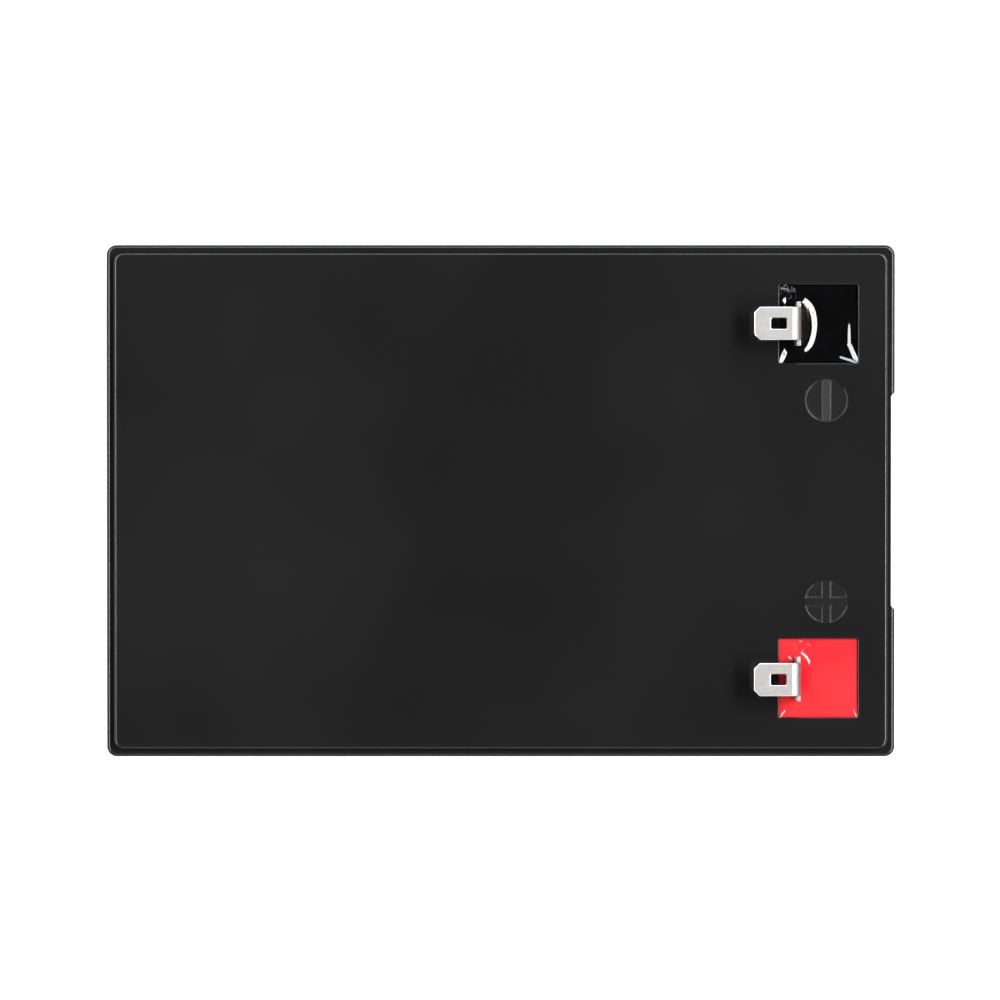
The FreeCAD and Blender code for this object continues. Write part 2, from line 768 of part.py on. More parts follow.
def stand_cell_part(body, index, side, button_up):
    """Puts a turned piece of a cell in its place, upside down where its button is below."""
    foot = FreeCAD.Rotation(FreeCAD.Vector(1, 0, 0), 0 if button_up else 180)
    body.Placement = FreeCAD.Placement(FreeCAD.Vector(), foot)
    bind(body, {"Placement.Base.x": column_x(index), "Placement.Base.y": row_y(side)})
    body.setExpression("Placement.Base.z", CELL_LOW if button_up else CELL_HIGH)


def make_cell(label, index, side, button_up):
    """A steel can with a stepped base, a bead, a crimped rim and a raised button."""
    body = new_body(label)
    can = "(Sizes.cell_radius - Sizes.sleeve_thick)"
    step = "(Sizes.cell_radius - Sizes.base_step_inset)"
    crimp = f"({can} - Sizes.crimp_width)"
    rim = "(Sizes.cell_length - Sizes.crimp_drop)"
    cap = f"({rim} - Sizes.cap_sink)"
    bead = "(Sizes.cell_length - Sizes.bead_from_top)"
    half_bead = "Sizes.bead_width / 2"
    profile = new_sketch(body, "profile", role="XZ_Plane")
    corners = [
        ("0", "0"),
        (step, "0"),
        (step, "Sizes.base_step"),
        (f"{can} - Sizes.can_round", "Sizes.base_step"),
        (can, "Sizes.base_step + Sizes.can_round"),
        (can, f"{bead} - {half_bead}"),
        (f"{can} - Sizes.bead_depth", f"{bead} - {half_bead} / 2"),
        (f"{can} - Sizes.bead_depth", f"{bead} + {half_bead} / 2"),
        (can, f"{bead} + {half_bead}"),
        (can, f"{rim} - Sizes.can_round"),
        (f"{can} - Sizes.can_round", rim),
        (crimp, rim),
        (crimp, cap),
        ("Sizes.button_radius", cap),
        ("Sizes.button_radius", "Sizes.cell_length"),
        ("0", "Sizes.cell_length"),
    ]
    add_polygon(profile, corners)
    add_revolution(body, profile)
    stand_cell_part(body, index, side, button_up)
    return body


def make_sleeve(label, index, side, button_up):
    """The shrunk sleeve round a can, folded over its base and over the washer on its rim."""
    body = new_body(label)
    can = "(Sizes.cell_radius - Sizes.sleeve_thick)"
    lip = "(Sizes.cell_radius - Sizes.sleeve_lip)"
    top = "(Sizes.cell_length - Sizes.crimp_drop + Sizes.washer_thick)"
    base = "Sizes.base_step"
    profile = new_sketch(body, "profile", role="XZ_Plane")
    corners = [
        (lip, f"{base} - Sizes.sleeve_thick"),
        ("Sizes.cell_radius - Sizes.can_round", f"{base} - Sizes.sleeve_thick"),
        ("Sizes.cell_radius", f"{base} - Sizes.sleeve_thick + Sizes.can_round"),
        ("Sizes.cell_radius", f"{top} + Sizes.sleeve_thick - Sizes.can_round"),
        ("Sizes.cell_radius - Sizes.can_round", f"{top} + Sizes.sleeve_thick"),
        (lip, f"{top} + Sizes.sleeve_thick"),
        (lip, top),
        (f"{can} - Sizes.can_round", top),
        (can, f"{top} - Sizes.can_round"),
        (can, f"{base} + Sizes.can_round"),
        (f"{can} - Sizes.can_round", base),
        (lip, base),
    ]
    add_polygon(profile, corners)
    add_revolution(body, profile)
    stand_cell_part(body, index, side, button_up)
    return body


def make_washers():
    """The insulating ring under each sleeve's fold at the button end."""
    rings = []
    rim = "(Sizes.cell_length - Sizes.crimp_drop)"
    outer = "(Sizes.cell_radius - Sizes.sleeve_thick - Sizes.can_round)"
    inner = f"({outer} - Sizes.washer_width)"
    for index, (column, button_up) in enumerate(COLUMNS):
        z = f"{CELL_LOW} + {rim}" if button_up else f"{CELL_HIGH} - {rim} - Sizes.washer_thick"
        for row, side in ROWS:
            place = (column_x(index), row_y(side), z)
            name = f"washer_{column}{row}"
            disc = cylinder(f"{name}_disc", outer, "Sizes.washer_thick", *place)
            bore = cylinder(f"{name}_bore", inner, "Sizes.washer_thick", *place)
            rings.append(cut(name, disc, [bore]))
    return join("cell_washers", rings)


def make_cells():
    """Four columns of two cells; the cells of each column stand the same way up."""
    for index, (column, button_up) in enumerate(COLUMNS):
        for row, side in ROWS:
            make_cell(f"cell_{column}{row}", index, side, button_up)
            make_sleeve(f"cell_sleeve_{column}{row}", index, side, button_up)
    make_washers()


# Pack


def make_holder(label, low):
    """A moulded plate with a bore for each cell, vents between them and two wire notches."""
    body = new_body(label)
    corner = "Sizes.cell_radius + Sizes.holder_play + Sizes.holder_wall"
    plate = new_sketch(body, "plate", z=low)
    add_rectangle(plate, HOLDER_LENGTH, HOLDER_WIDTH, corner)
    add_pad(body, plate, "Sizes.holder_height")
    bores = new_sketch(body, "bores", z=f"{low} + Sizes.holder_height")
    for index in range(len(COLUMNS)):
        for _, side in ROWS:
            add_circle(
                bores, "Sizes.cell_radius + Sizes.holder_play", column_x(index), row_y(side)
            )
    for gap in (0.5, 1.5, 2.5):
        add_circle(bores, "Sizes.vent_radius", column_x(gap), "0")
    add_pocket(body, bores)
    notch_y = f"({HOLDER_WIDTH} / 2)"
    notch_depth = f"({notch_y} - {SENSE_Y} + Sizes.wire_radius + Sizes.wire_notch_play)"
    notches = new_sketch(body, "notches", y=f"-{notch_y}", z=f"{low} + Sizes.holder_height")
    for gap in (0.5, 2.5):
        left = f"({column_x(gap)} - Sizes.wire_notch / 2)"
        right = f"({column_x(gap)} + Sizes.wire_notch / 2)"
        corners = [
            (left, f"-{notch_depth}"),
            (right, f"-{notch_depth}"),
            (right, notch_depth),
            (left, notch_depth),
        ]
        add_polygon(notches, corners)
    add_pocket(body, notches)
    return body


def make_band(label, low):
    """A band of tape wrapped tight round all the cells."""
    body = new_body(label)
    ring = new_sketch(body, "ring", z=low)
    for grow in ("Sizes.band_play + Sizes.band_thick", "Sizes.band_play"):
        radius = f"(Sizes.cell_radius + {grow})"
        length, width = f"3 * {PITCH} + 2 * {radius}", f"{PITCH} + 2 * {radius}"
        add_rectangle(ring, length, width, radius)
    add_pad(body, ring, "Sizes.band_height")
    return body


def make_strip(label, x, length, welds, low, tail=0):
    """A nickel strip across two rows, with weld slots, a sense tab and perhaps a lead tail."""
    body = new_body(label)
    plate = new_sketch(body, "plate", x=x, z=low)
    add_rectangle(plate, length, STRIP_WIDTH)
    add_pad(body, plate, "Sizes.strip_thick")
    half = "Sizes.sense_tail_width / 2"
    tab = new_sketch(body, "tab", x=x, z=low)
    tab_corners = [
        (f"-{half}", f"-{SENSE_TIP}"),
        (half, f"-{SENSE_TIP}"),
        (half, f"-{STRIP_WIDTH} / 2 + Sizes.sense_tail_width"),
        (f"-{half}", f"-{STRIP_WIDTH} / 2 + Sizes.sense_tail_width"),
    ]
    add_polygon(tab, tab_corners)
    add_pad(body, tab, "Sizes.strip_thick")
    if tail:
        root = f"({TAIL_TIP} - 2 * Sizes.tail_length)"
        middle = f"{tail} * ({root} + {TAIL_TIP}) / 2"
        lead_tail = new_sketch(body, "tail", x=middle, y=f"-{tail} * Sizes.tail_shift", z=low)
        add_rectangle(lead_tail, f"{TAIL_TIP} - {root}", "Sizes.tail_width")
        add_pad(body, lead_tail, "Sizes.strip_thick")
    slots = new_sketch(body, "slots", x=x, z=f"{low} + Sizes.strip_thick")
    for offset in welds:
        for _, side in ROWS:
            add_slot(slots, offset, row_y(side))
    add_pocket(body, slots)
    return body


def add_slot(sketch, x, y):
    """One narrow slot along X between the two weld spots of a cell."""
    half_length, half_width = "Sizes.weld_slot_length / 2", "Sizes.weld_slot / 2"
    corners = [
        (f"{x} - {half_length}", f"{y} - {half_width}"),
        (f"{x} + {half_length}", f"{y} - {half_width}"),
        (f"{x} + {half_length}", f"{y} + {half_width}"),
        (f"{x} - {half_length}", f"{y} + {half_width}"),
    ]
    add_polygon(sketch, corners)


def make_strips():
    """Five strips join the columns in series: two below the cells and three above."""
    end, link = "2 * Sizes.strip_margin", STRIP_WIDTH
    pair = (f"-{PITCH} / 2", f"{PITCH} / 2")
    make_strip("strip_negative", column_x(0), end, ("0",), CELL_HIGH, tail=-1)
    make_strip("strip_link_back", column_x(0.5), link, pair, STRIP_LOW)
    make_strip("strip_link_middle", column_x(1.5), link, pair, CELL_HIGH)
    make_strip("strip_link_front", column_x(2.5), link, pair, STRIP_LOW)
    make_strip("strip_positive", column_x(3), end, ("0",), CELL_HIGH, tail=1)


def make_packing():
    """The insulating sheets and the foam that fills the space round the pack."""
    sheet_length = f"3 * {PITCH} + 2 * (Sizes.strip_margin + Sizes.sheet_overhang)"
    sheet_width = f"{STRIP_WIDTH} + 2 * Sizes.sheet_side_overhang"
    box("bottom_sheet", sheet_length, sheet_width, "Sizes.sheet_thick", z=SHEET_LOW)
    box("top_sheet", sheet_length, sheet_width, "Sizes.sheet_thick", z=SHEET_HIGH)
    long = f"({INNER_LENGTH} - 2 * Sizes.foam_play)"
    box("bottom_pad", long, HOLDER_WIDTH, "Sizes.pad_thick", z="Sizes.case_floor")
    for side, name in ((1, "left"), (-1, "right")):
        y = f"{side} * ({HOLDER_WIDTH} + Sizes.side_foam) / 2"
        height = f"{CELL_HIGH} - Sizes.case_floor"
        box(f"side_foam_{name}", long, "Sizes.side_foam", height, y=y, z="Sizes.case_floor")
    for side, name in ((1, "front"), (-1, "back")):
        x = f"{side} * ({HOLDER_LENGTH} + Sizes.end_foam) / 2"
        height = f"{CELL_HIGH} - {SHEET_LOW}"
        box(f"end_foam_{name}", "Sizes.end_foam", HOLDER_WIDTH, height, x=x, z=SHEET_LOW)
    half = "Sizes.top_foam_length / 2"
    front = f"({WELL_BACK} - Sizes.top_foam_gap - {half})"
    back = f"(-{HOLDER_LENGTH} / 2 + Sizes.top_foam_inset + {half})"
    for x, name in ((front, "front"), (back, "back")):
        box(
            f"top_foam_{name}",
            "Sizes.top_foam_length",
            "Sizes.top_foam_width",
            f"{PANEL_UNDER} - {DECK}",
            x=x,
            y=f"({SHUNT_Y} - Sizes.top_foam_gap - Sizes.top_foam_width / 2)",
            z=DECK,
        )


# Protection board


def make_board():
    """The bare board on its foam tape, with a hole near each corner."""
    tape_length = "Sizes.board_length - 2 * Sizes.tape_margin"
    tape_width = "Sizes.board_width - 2 * Sizes.tape_margin"
    box("board_tape", tape_length, tape_width, "Sizes.tape_thick", x=BOARD_X, z=DECK)
    body = new_body("protection_board")
    plate = new_sketch(body, "plate", x=BOARD_X, z=BOARD_LOW)
    add_rectangle(plate, "Sizes.board_length", "Sizes.board_width", "Sizes.board_corner")
    add_pad(body, plate, "Sizes.board_thick")
    holes = new_sketch(body, "holes", x=BOARD_X, z=BOARD_TOP)
    for along in (1, -1):
        for across in (1, -1):
            x = f"{along} * (Sizes.board_length / 2 - Sizes.board_hole_inset)"
            y = f"{across} * (Sizes.board_width / 2 - Sizes.board_hole_inset)"
            add_circle(holes, "Sizes.board_hole_radius", x, y)
    add_pocket(body, holes)


def make_row_of_blocks(label, kind, count, x, y, pitch):
    """A row along X of equal parts on the board, as one group of separate solids."""
    blocks = []
    for index in range(count):
        place = f"{x} + {index - (count - 1) / 2} * {pitch}"
        name = f"{kind}_{index + 1}"
        size = (f"Sizes.{kind}_length", f"Sizes.{kind}_width", f"Sizes.{kind}_height")
        blocks.append(box(name, *size, x=place, y=y, z=BOARD_TOP))
    return join(label, blocks)


def make_board_parts():
    """The switches, shunts, control chip, capacitors and sense header on the board."""
    switches = 6
    switch_x = f"({BOARD_X} - Sizes.board_joint / 2)"
    free = "(Sizes.board_length - Sizes.board_joint - 2 * Sizes.switch_margin)"
    switch_pitch = f"(({free} - Sizes.switch_length) / {switches - 1})"
    make_row_of_blocks("board_switches", "switch", switches, switch_x, SWITCH_Y, switch_pitch)
    make_row_of_blocks("board_shunts", "shunt", 4, BOARD_X, SHUNT_Y, "Sizes.shunt_pitch")
    chip_size = ("Sizes.chip_length", "Sizes.chip_width", "Sizes.chip_height")
    box("board_chip", *chip_size, x=BOARD_X, y=CHIP_Y, z=BOARD_TOP)
    capacitor_x = f"({BOARD_X} + Sizes.chip_length + Sizes.capacitor_pitch)"
    pitch = "Sizes.capacitor_pitch"
    make_row_of_blocks("board_capacitors", "capacitor", 3, capacitor_x, CHIP_Y, pitch)
    make_header_and_plug()


def make_header_and_plug():
    """The sense header at the board's edge, open to the side, and the plug pushed into it."""
    header_y = f"({HEADER_FACE} + Sizes.header_depth / 2)"
    shell = box(
        "header_shell",
        "Sizes.header_length",
        "Sizes.header_depth",
        "Sizes.header_height",
        x=BOARD_X,
        y=header_y,
        z=BOARD_TOP,
    )
    mouth_length = "(Sizes.header_length - 2 * Sizes.header_wall)"
    mouth_height = "(Sizes.header_height - 2 * Sizes.header_wall)"
    mouth = box(
        "header_mouth",
        mouth_length,
        "2 * (Sizes.header_depth - Sizes.header_back)",
        mouth_height,
        x=BOARD_X,
        y=HEADER_FACE,
        z=f"{BOARD_TOP} + Sizes.header_wall",
    )
    cut("sense_header", shell, [mouth])
    box(
        "sense_plug",
        f"{mouth_length} - 2 * Sizes.plug_play",
        "Sizes.plug_depth",
        f"{mouth_height} - 2 * Sizes.plug_play",
        x=BOARD_X,
        y=f"({PLUG_BACK} + {PLUG_FACE}) / 2",
        z=f"{BOARD_TOP} + Sizes.header_wall + Sizes.plug_play",
    )


# Leads


def route_edges(points, label):
    """Straight runs through the points, joined by tangent arcs as large as the runs allow."""
    edges, radii = [], []
    last = points[0]
    for before, corner, after in zip(points, points[1:], points[2:]):
        back, ahead = before - corner, after - corner
        shorter = min(back.Length, ahead.Length)
        back.normalize()
        ahead.normalize()
        reach = BEND_SHARE * shorter
        start, end = corner + back * reach, corner + ahead * reach
        half_angle = back.getAngle(ahead) / 2
        radius = reach * math.tan(half_angle)
        inward = (back + ahead).normalize()
        depth = math.hypot(radius, reach) - radius
        edges.append(Part.LineSegment(last, start).toShape())
        edges.append(Part.Arc(start, corner + inward * depth, end).toShape())
        radii.append(round(radius, 1))
        last = end
    edges.append(Part.LineSegment(last, points[-1]).toShape())
    print(f"{label} bends: {radii}")
    return edges


def make_tube(label, radius, places):
    """A round lead that runs through a list of places."""
    points = [FreeCAD.Vector(*place) for place in places]
    path = Part.Wire(route_edges(points, label))
    circle = Part.Circle(points[0], points[1] - points[0], radius)
    section = Part.Face(Part.Wire(circle.toShape()))
    tube = path.makePipe(section)
    expected = section.Area * path.Length
    if abs(tube.Volume - expected) > 0.01 * expected:
        raise RuntimeError(f"{label} doesn't fill its path")
    lead = doc.addObject("Part::Feature", label)
    lead.Label = label
    lead.Shape = tube
    lead.Placement = FreeCAD.Placement()
    return lead


def make_leads():
    """The heavy leads: pack to terminal, pack to board and board to terminal."""
    radius = number("Sizes.lead_radius")
    low, high = number(LEAD_ON_STRIP), number(LEAD_ON_BOARD)
    blade_x, blade_y = number(BLADE_X), number(WELL_Y)
    tail_x = number(f"{TAIL_TIP} - Sizes.tail_length / 2")
    tail_y, tail_half = number("Sizes.tail_shift"), number("Sizes.tail_width / 2")
    front, back = number(BOARD_FRONT), number(BOARD_BACK)
    joint, switch_y = number("Sizes.board_joint"), number(SWITCH_Y)
    make_tube(
        "lead_positive",
        radius,
        [
            (tail_x, -tail_y + tail_half, low),
            (tail_x, -tail_y - tail_half - 3.0, low),
            (tail_x - 0.3, -blade_y + 2.4, high - 1.2),
            (tail_x - 2.8, -blade_y, high),
            (blade_x, -blade_y, high),
        ],
    )
    make_tube(
        "lead_pack_negative",
        radius,
        [
            (-tail_x, tail_y + tail_half, low),
            (-tail_x, tail_y - tail_half, low),
            (-tail_x + 3.5, switch_y - 7.0, low + 1.4),
            (back - 3.0, switch_y - 8.0, high),
            (back + joint, switch_y - 8.0, high),
        ],
    )
    make_tube(
        "lead_output_negative",
        radius,
        [
            (front - joint, switch_y - 5.5, high),
            (front + 8.0, switch_y - 5.5, high),
            (front + 20.0, switch_y - 1.5, high),
            (tail_x - 14.0, switch_y - 1.5, high),
            (tail_x - 1.0, blade_y - 14.0, high),
            (tail_x, blade_y - 3.0, high),
            (tail_x - 3.5, blade_y, high),
            (blade_x, blade_y, high),
        ],
    )


def make_sense_wires():
    """Five thin wires from the strips' tabs to the plug, laid beside each other."""
    radius = number("Sizes.wire_radius")
    above = number(SHEET_HIGH)
    below = number(CELL_LOW)
    edge = -number(SENSE_Y)
    face, plug = number(PLUG_FACE), number(PLUG_Z)
    pins = [number(f"{BOARD_X} + {pin - 2} * Sizes.wire_pitch") for pin in range(5)]
    tabs = [number(column_x(index)) for index in (0, 0.5, 1.5, 2.5, 3)]
    lane = edge - 5.0
    make_tube(
        "sense_wire_0",
        radius,
        [
            (tabs[0], edge, above),
            (tabs[0], edge, above + 3.4),
            (tabs[0] + 4.0, lane + 0.9, plug),
            (tabs[0] + 15.0, lane - 0.6, plug),
            (pins[0] - 4.0, lane + 0.4, plug),
            (pins[0], face - 6.3, plug),
            (pins[0], face, plug),
        ],
    )
    make_tube(
        "sense_wire_1",
        radius,
        [
            (tabs[1], edge, below),
            (tabs[1], edge, above - 1.0),
            (tabs[1] + 2.5, edge - 1.2, above + 2.6),
            (pins[1] - 3.0, face - 7.3, above + 2.8),
            (pins[1], face - 5.7, above + 4.0),
            (pins[1], face - 3.1, plug),
            (pins[1], face, plug),
        ],
    )
    make_tube(
        "sense_wire_2",
        radius,
        [
            (tabs[2], edge, above),
            (tabs[2], edge, above + 2.2),
            (pins[2] + 9.0, edge - 1.2, above + 2.4),
            (pins[2] + 2.0, face - 6.7, above + 2.6),
            (pins[2], face - 5.1, above + 4.0),
            (pins[2], face - 2.9, plug),
            (pins[2], face, plug),
        ],
    )
    make_tube(
        "sense_wire_3",
        radius,
        [
            (tabs[3], edge, below),
            (tabs[3], edge, above - 1.0),
            (tabs[3] - 3.0, edge - 2.6, above + 3.6),
            (tabs[2] + 14.0, lane + 0.9, above + 4.0),
            (pins[3] + 3.0, lane + 1.4, above + 3.2),
            (pins[3], face - 7.1, above + 4.4),
            (pins[3], face - 3.9, plug),
            (pins[3], face, plug),
        ],
    )
    make_tube(
        "sense_wire_4",
        radius,
        [
            (tabs[4], edge, above),
            (tabs[4], edge, above + 3.4),
            (tabs[4] - 7.0, lane - 1.0, plug - 0.2),
            (tabs[2] + 28.0, lane - 2.6, plug),
            (tabs[2] + 8.0, lane - 2.2, plug),
            (pins[4] + 4.0, lane - 0.6, plug),
            (pins[4], face - 6.7, plug),
            (pins[4], face, plug),
        ],
    )


make_container()
make_lid()
for side, pole in ((1, "negative"), (-1, "positive")):
    make_terminal(f"{pole}_terminal", side)
    make_seal(f"{pole}_seal", side)
make_cells()
make_holder("cell_holder_bottom", CELL_LOW)
make_holder("cell_holder_top", f"({CELL_HIGH} - Sizes.holder_height)")
make_band("pack_band_low", f"({CELL_LOW} + Sizes.band_from_end)")
make_band("pack_band_high", f"({CELL_HIGH} - Sizes.band_from_end - Sizes.band_height)")
make_strips()
make_packing()
make_board()
make_board_parts()
make_leads()
make_sense_wires()


# Files


PIECES = [
    "container",
    "lid",
    "negative_terminal",
    "positive_terminal",
    "negative_seal",
    "positive_seal",
    *(f"cell_{column}{row}" for column, _ in COLUMNS for row, _ in ROWS),
    *(f"cell_sleeve_{column}{row}" for column, _ in COLUMNS for row, _ in ROWS),
    "cell_washers",
    "cell_holder_bottom",
    "cell_holder_top",
    "pack_band_low",
    "pack_band_high",
    "strip_negative",
    "strip_link_back",
    "strip_link_middle",
    "strip_link_front",
    "strip_positive",
    "bottom_sheet",
    "top_sheet",
    "bottom_pad",
    "side_foam_left",
    "side_foam_right",
    "end_foam_front",
    "end_foam_back",
    "top_foam_front",
    "top_foam_back",
    "board_tape",
    "protection_board",
    "board_switches",
    "board_shunts",
    "board_chip",
    "board_capacitors",
    "sense_header",
    "sense_plug",
    "lead_positive",
    "lead_pack_negative",
    "lead_output_negative",
    *(f"sense_wire_{pin}" for pin in range(5)),
]


def check_document():
    """Stops the build if any feature failed or any piece is not a sound solid."""
    doc.recompute()
    for item in doc.Objects:
        if "Invalid" in item.State or "Error" in item.State:
            raise RuntimeError(f"{item.Label} failed: {item.State}")
    for label in PIECES:
        shape = doc.getObjectsByLabel(label)[0].Shape
        if shape.isNull() or not shape.isValid() or not shape.Solids:
            raise RuntimeError(f"{label} is not a sound solid")


def write_pieces():
    """Writes each piece to its own STEP file."""
    os.makedirs("parts", exist_ok=True)
    for label in PIECES:
        shape = doc.getObjectsByLabel(label)[0].Shape
        shape.exportStep(f"parts/{label}.step")
        box = shape.BoundBox
        print(
            f"{label}: {len(shape.Solids)} solid, {shape.Volume:.1f} mm3,"
            f" x {box.XMin:.2f} {box.XMax:.2f} y {box.YMin:.2f} {box.YMax:.2f}"
            f" z {box.ZMin:.2f} {box.ZMax:.2f}"
        )


check_document()
write_pieces()
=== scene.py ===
import json
import logging
import math
from dataclasses import dataclass
from enum import Enum

import bmesh
import bpy
import numpy as np
from mathutils import Matrix, Vector
from mathutils.geometry import tessellate_polygon


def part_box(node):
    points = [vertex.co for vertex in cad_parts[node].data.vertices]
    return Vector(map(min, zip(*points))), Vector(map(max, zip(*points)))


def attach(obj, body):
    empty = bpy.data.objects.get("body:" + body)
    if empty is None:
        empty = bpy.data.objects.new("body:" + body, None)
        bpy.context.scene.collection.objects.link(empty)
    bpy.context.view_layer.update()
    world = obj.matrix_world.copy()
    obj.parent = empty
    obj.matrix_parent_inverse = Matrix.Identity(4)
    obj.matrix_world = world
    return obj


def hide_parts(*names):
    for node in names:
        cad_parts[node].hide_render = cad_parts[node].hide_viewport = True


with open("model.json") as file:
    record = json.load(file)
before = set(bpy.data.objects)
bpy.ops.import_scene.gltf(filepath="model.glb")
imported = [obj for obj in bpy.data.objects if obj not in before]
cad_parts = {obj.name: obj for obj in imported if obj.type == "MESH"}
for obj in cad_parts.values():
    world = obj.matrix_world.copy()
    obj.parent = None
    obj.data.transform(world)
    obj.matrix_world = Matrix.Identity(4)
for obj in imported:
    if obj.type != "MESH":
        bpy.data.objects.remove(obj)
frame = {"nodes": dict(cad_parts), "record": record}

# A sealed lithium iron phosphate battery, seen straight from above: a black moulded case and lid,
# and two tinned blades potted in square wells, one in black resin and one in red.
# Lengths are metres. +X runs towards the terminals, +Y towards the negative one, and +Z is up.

log = logging.getLogger("battery")
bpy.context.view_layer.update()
MM = 0.001
BODY = "root"
WHITE = (1.0, 1.0, 1.0, 1.0)
MARK_FROM_END = 13.2 * MM
MARK_FROM_MIDDLE = 19.25 * MM
Colour = tuple[float, float, float, float]
Tree = bpy.types.NodeTree
Node = bpy.types.Node
Socket = bpy.types.NodeSocket
Piece = bpy.types.Object
Shape = bmesh.types.BMesh
Vert = bmesh.types.BMVert
Edge = bmesh.types.BMEdge
Grid = np.ndarray


def mm(**sizes: float) -> dict[str, float]:
    """Named sizes in millimetres, turned into metres."""
    return {name: size * MM for name, size in sizes.items()}


def screen(red: int, green: int, blue: int) -> Colour:
    """Turns a colour as a screen shows it, 0 to 255, into the linear light that a shader wants.

    Args:
        red: its red.
        green: its green.
        blue: its blue.

    Returns:
        The linear colour, with full opacity.
    """
    shares = (channel / 255 for channel in (red, green, blue))
    linear = (s / 12.92 if s <= 0.04045 else ((s + 0.055) / 1.055) ** 2.4 for s in shares)
    return (*linear, 1.0)


class Wiring:
    """Adds nodes to one node tree and joins them."""

    def __init__(self, tree: Tree) -> None:
        """Takes the tree to work on."""
        self.tree = tree

    def add(self, kind: str, sockets: dict | None = None, **settings: object) -> Node:
        """Adds one node.

        Args:
            kind: the node's type.
            sockets: for each input, by name or number, its value or the output that feeds it.
            settings: the node's own properties.

        Returns:
            The new node.
        """
        node = self.tree.nodes.new(kind)
        for name, value in settings.items():
            setattr(node, name, value)
        for key, value in (sockets or {}).items():
            if isinstance(value, Socket):
                self.tree.links.new(value, node.inputs[key])
            else:
                node.inputs[key].default_value = value
        return node

    def maths(self, operation: str, *values: object, clamp: bool = False) -> Socket:
        """Adds a Math node and returns its result."""
        sockets = dict(enumerate(values))
        return self.add("ShaderNodeMath", sockets, operation=operation, use_clamp=clamp).outputs[0]

    def times(self, one: object, other: object) -> Socket:
        """Multiplies two values."""
        return self.maths("MULTIPLY", one, other)

    def plus(self, one: object, other: object, clamp: bool = False) -> Socket:
        """Adds two values, and clamps the sum where that is asked for."""
        return self.maths("ADD", one, other, clamp=clamp)

    def spread(
        self, value: Socket, low: float, high: float, to_low: float = 0.0, to_high: float = 1.0
    ) -> Socket:
        """Spreads one range of a value over another, clamped at its ends.

        Args:
            value: the value to spread.
            low: the start of its range.
            high: the end of its range.
            to_low: what the start becomes.
            to_high: what the end becomes.

        Returns:
            The new value.
        """
        ends = {"Value": value, "From Min": low, "From Max": high}
        ends |= {"To Min": to_low, "To Max": to_high}
        return self.add("ShaderNodeMapRange", ends).outputs["Result"]

    def own(self) -> Socket:
        """The piece's own coordinates."""
        return self.add("ShaderNodeTexCoord").outputs["Object"]

    def attribute(self, name: str) -> Socket:
        """The value of one of the piece's own attributes."""
        return self.add("ShaderNodeAttribute", attribute_name=name).outputs["Fac"]

    def place(self, turn: float = 0.0, stretch: tuple = (1.0, 1.0, 1.0)) -> Socket:
        """The piece's own coordinates, turned about Z by some degrees and stretched."""
        mapping = {"Vector": self.own(), "Rotation": (0, 0, math.radians(turn)), "Scale": stretch}
        return self.add("ShaderNodeMapping", mapping).outputs["Vector"]

    def noise(self, where: Socket, scale: object, detail: float = 2.0) -> Socket:
        """A noise value between 0 and 1, with some waves to the metre and layers of detail."""
        sockets = {"Vector": where, "Scale": scale, "Detail": detail}
        return self.add("ShaderNodeTexNoise", sockets).outputs[0]

    def cells(self, scale: object, feature: str = "F1") -> Socket:
        """Distances in a pattern of cells, with some cells to the metre."""
        sockets = {"Vector": self.place(), "Scale": scale}
        return self.add("ShaderNodeTexVoronoi", sockets, feature=feature).outputs[0]

    def blend(self, first: object, second: object, share: Socket) -> Socket:
        """Blends two colours: the first where the share is 0, the second where it is 1."""
        sockets = {"Factor": share, 6: first, 7: second}
        return self.add("ShaderNodeMix", sockets, data_type="RGBA").outputs[2]

    def bump(self, height: Socket, depth: float, under: Socket | None = None) -> Socket:
        """Turns a height into a normal.

        Args:
            height: the relief, from 0 to 1.
            depth: how deep it is, in metres.
            under: a normal that it lies on.

        Returns:
            The normal.
        """
        sockets = {"Height": height, "Distance": depth}
        if under is not None:
            sockets["Normal"] = under
        return self.add("ShaderNodeBump", sockets).outputs["Normal"]


class Effect(Enum):
    """The surface effects that finishes share."""

    CLOUD = "cloud"
    GRAIN = "grain"
    CELLS = "cells"
    FIBRES = "fibres"
    WEAVE = "weave"
    ROLLED = "rolled"
    SCUFF = "scuff"


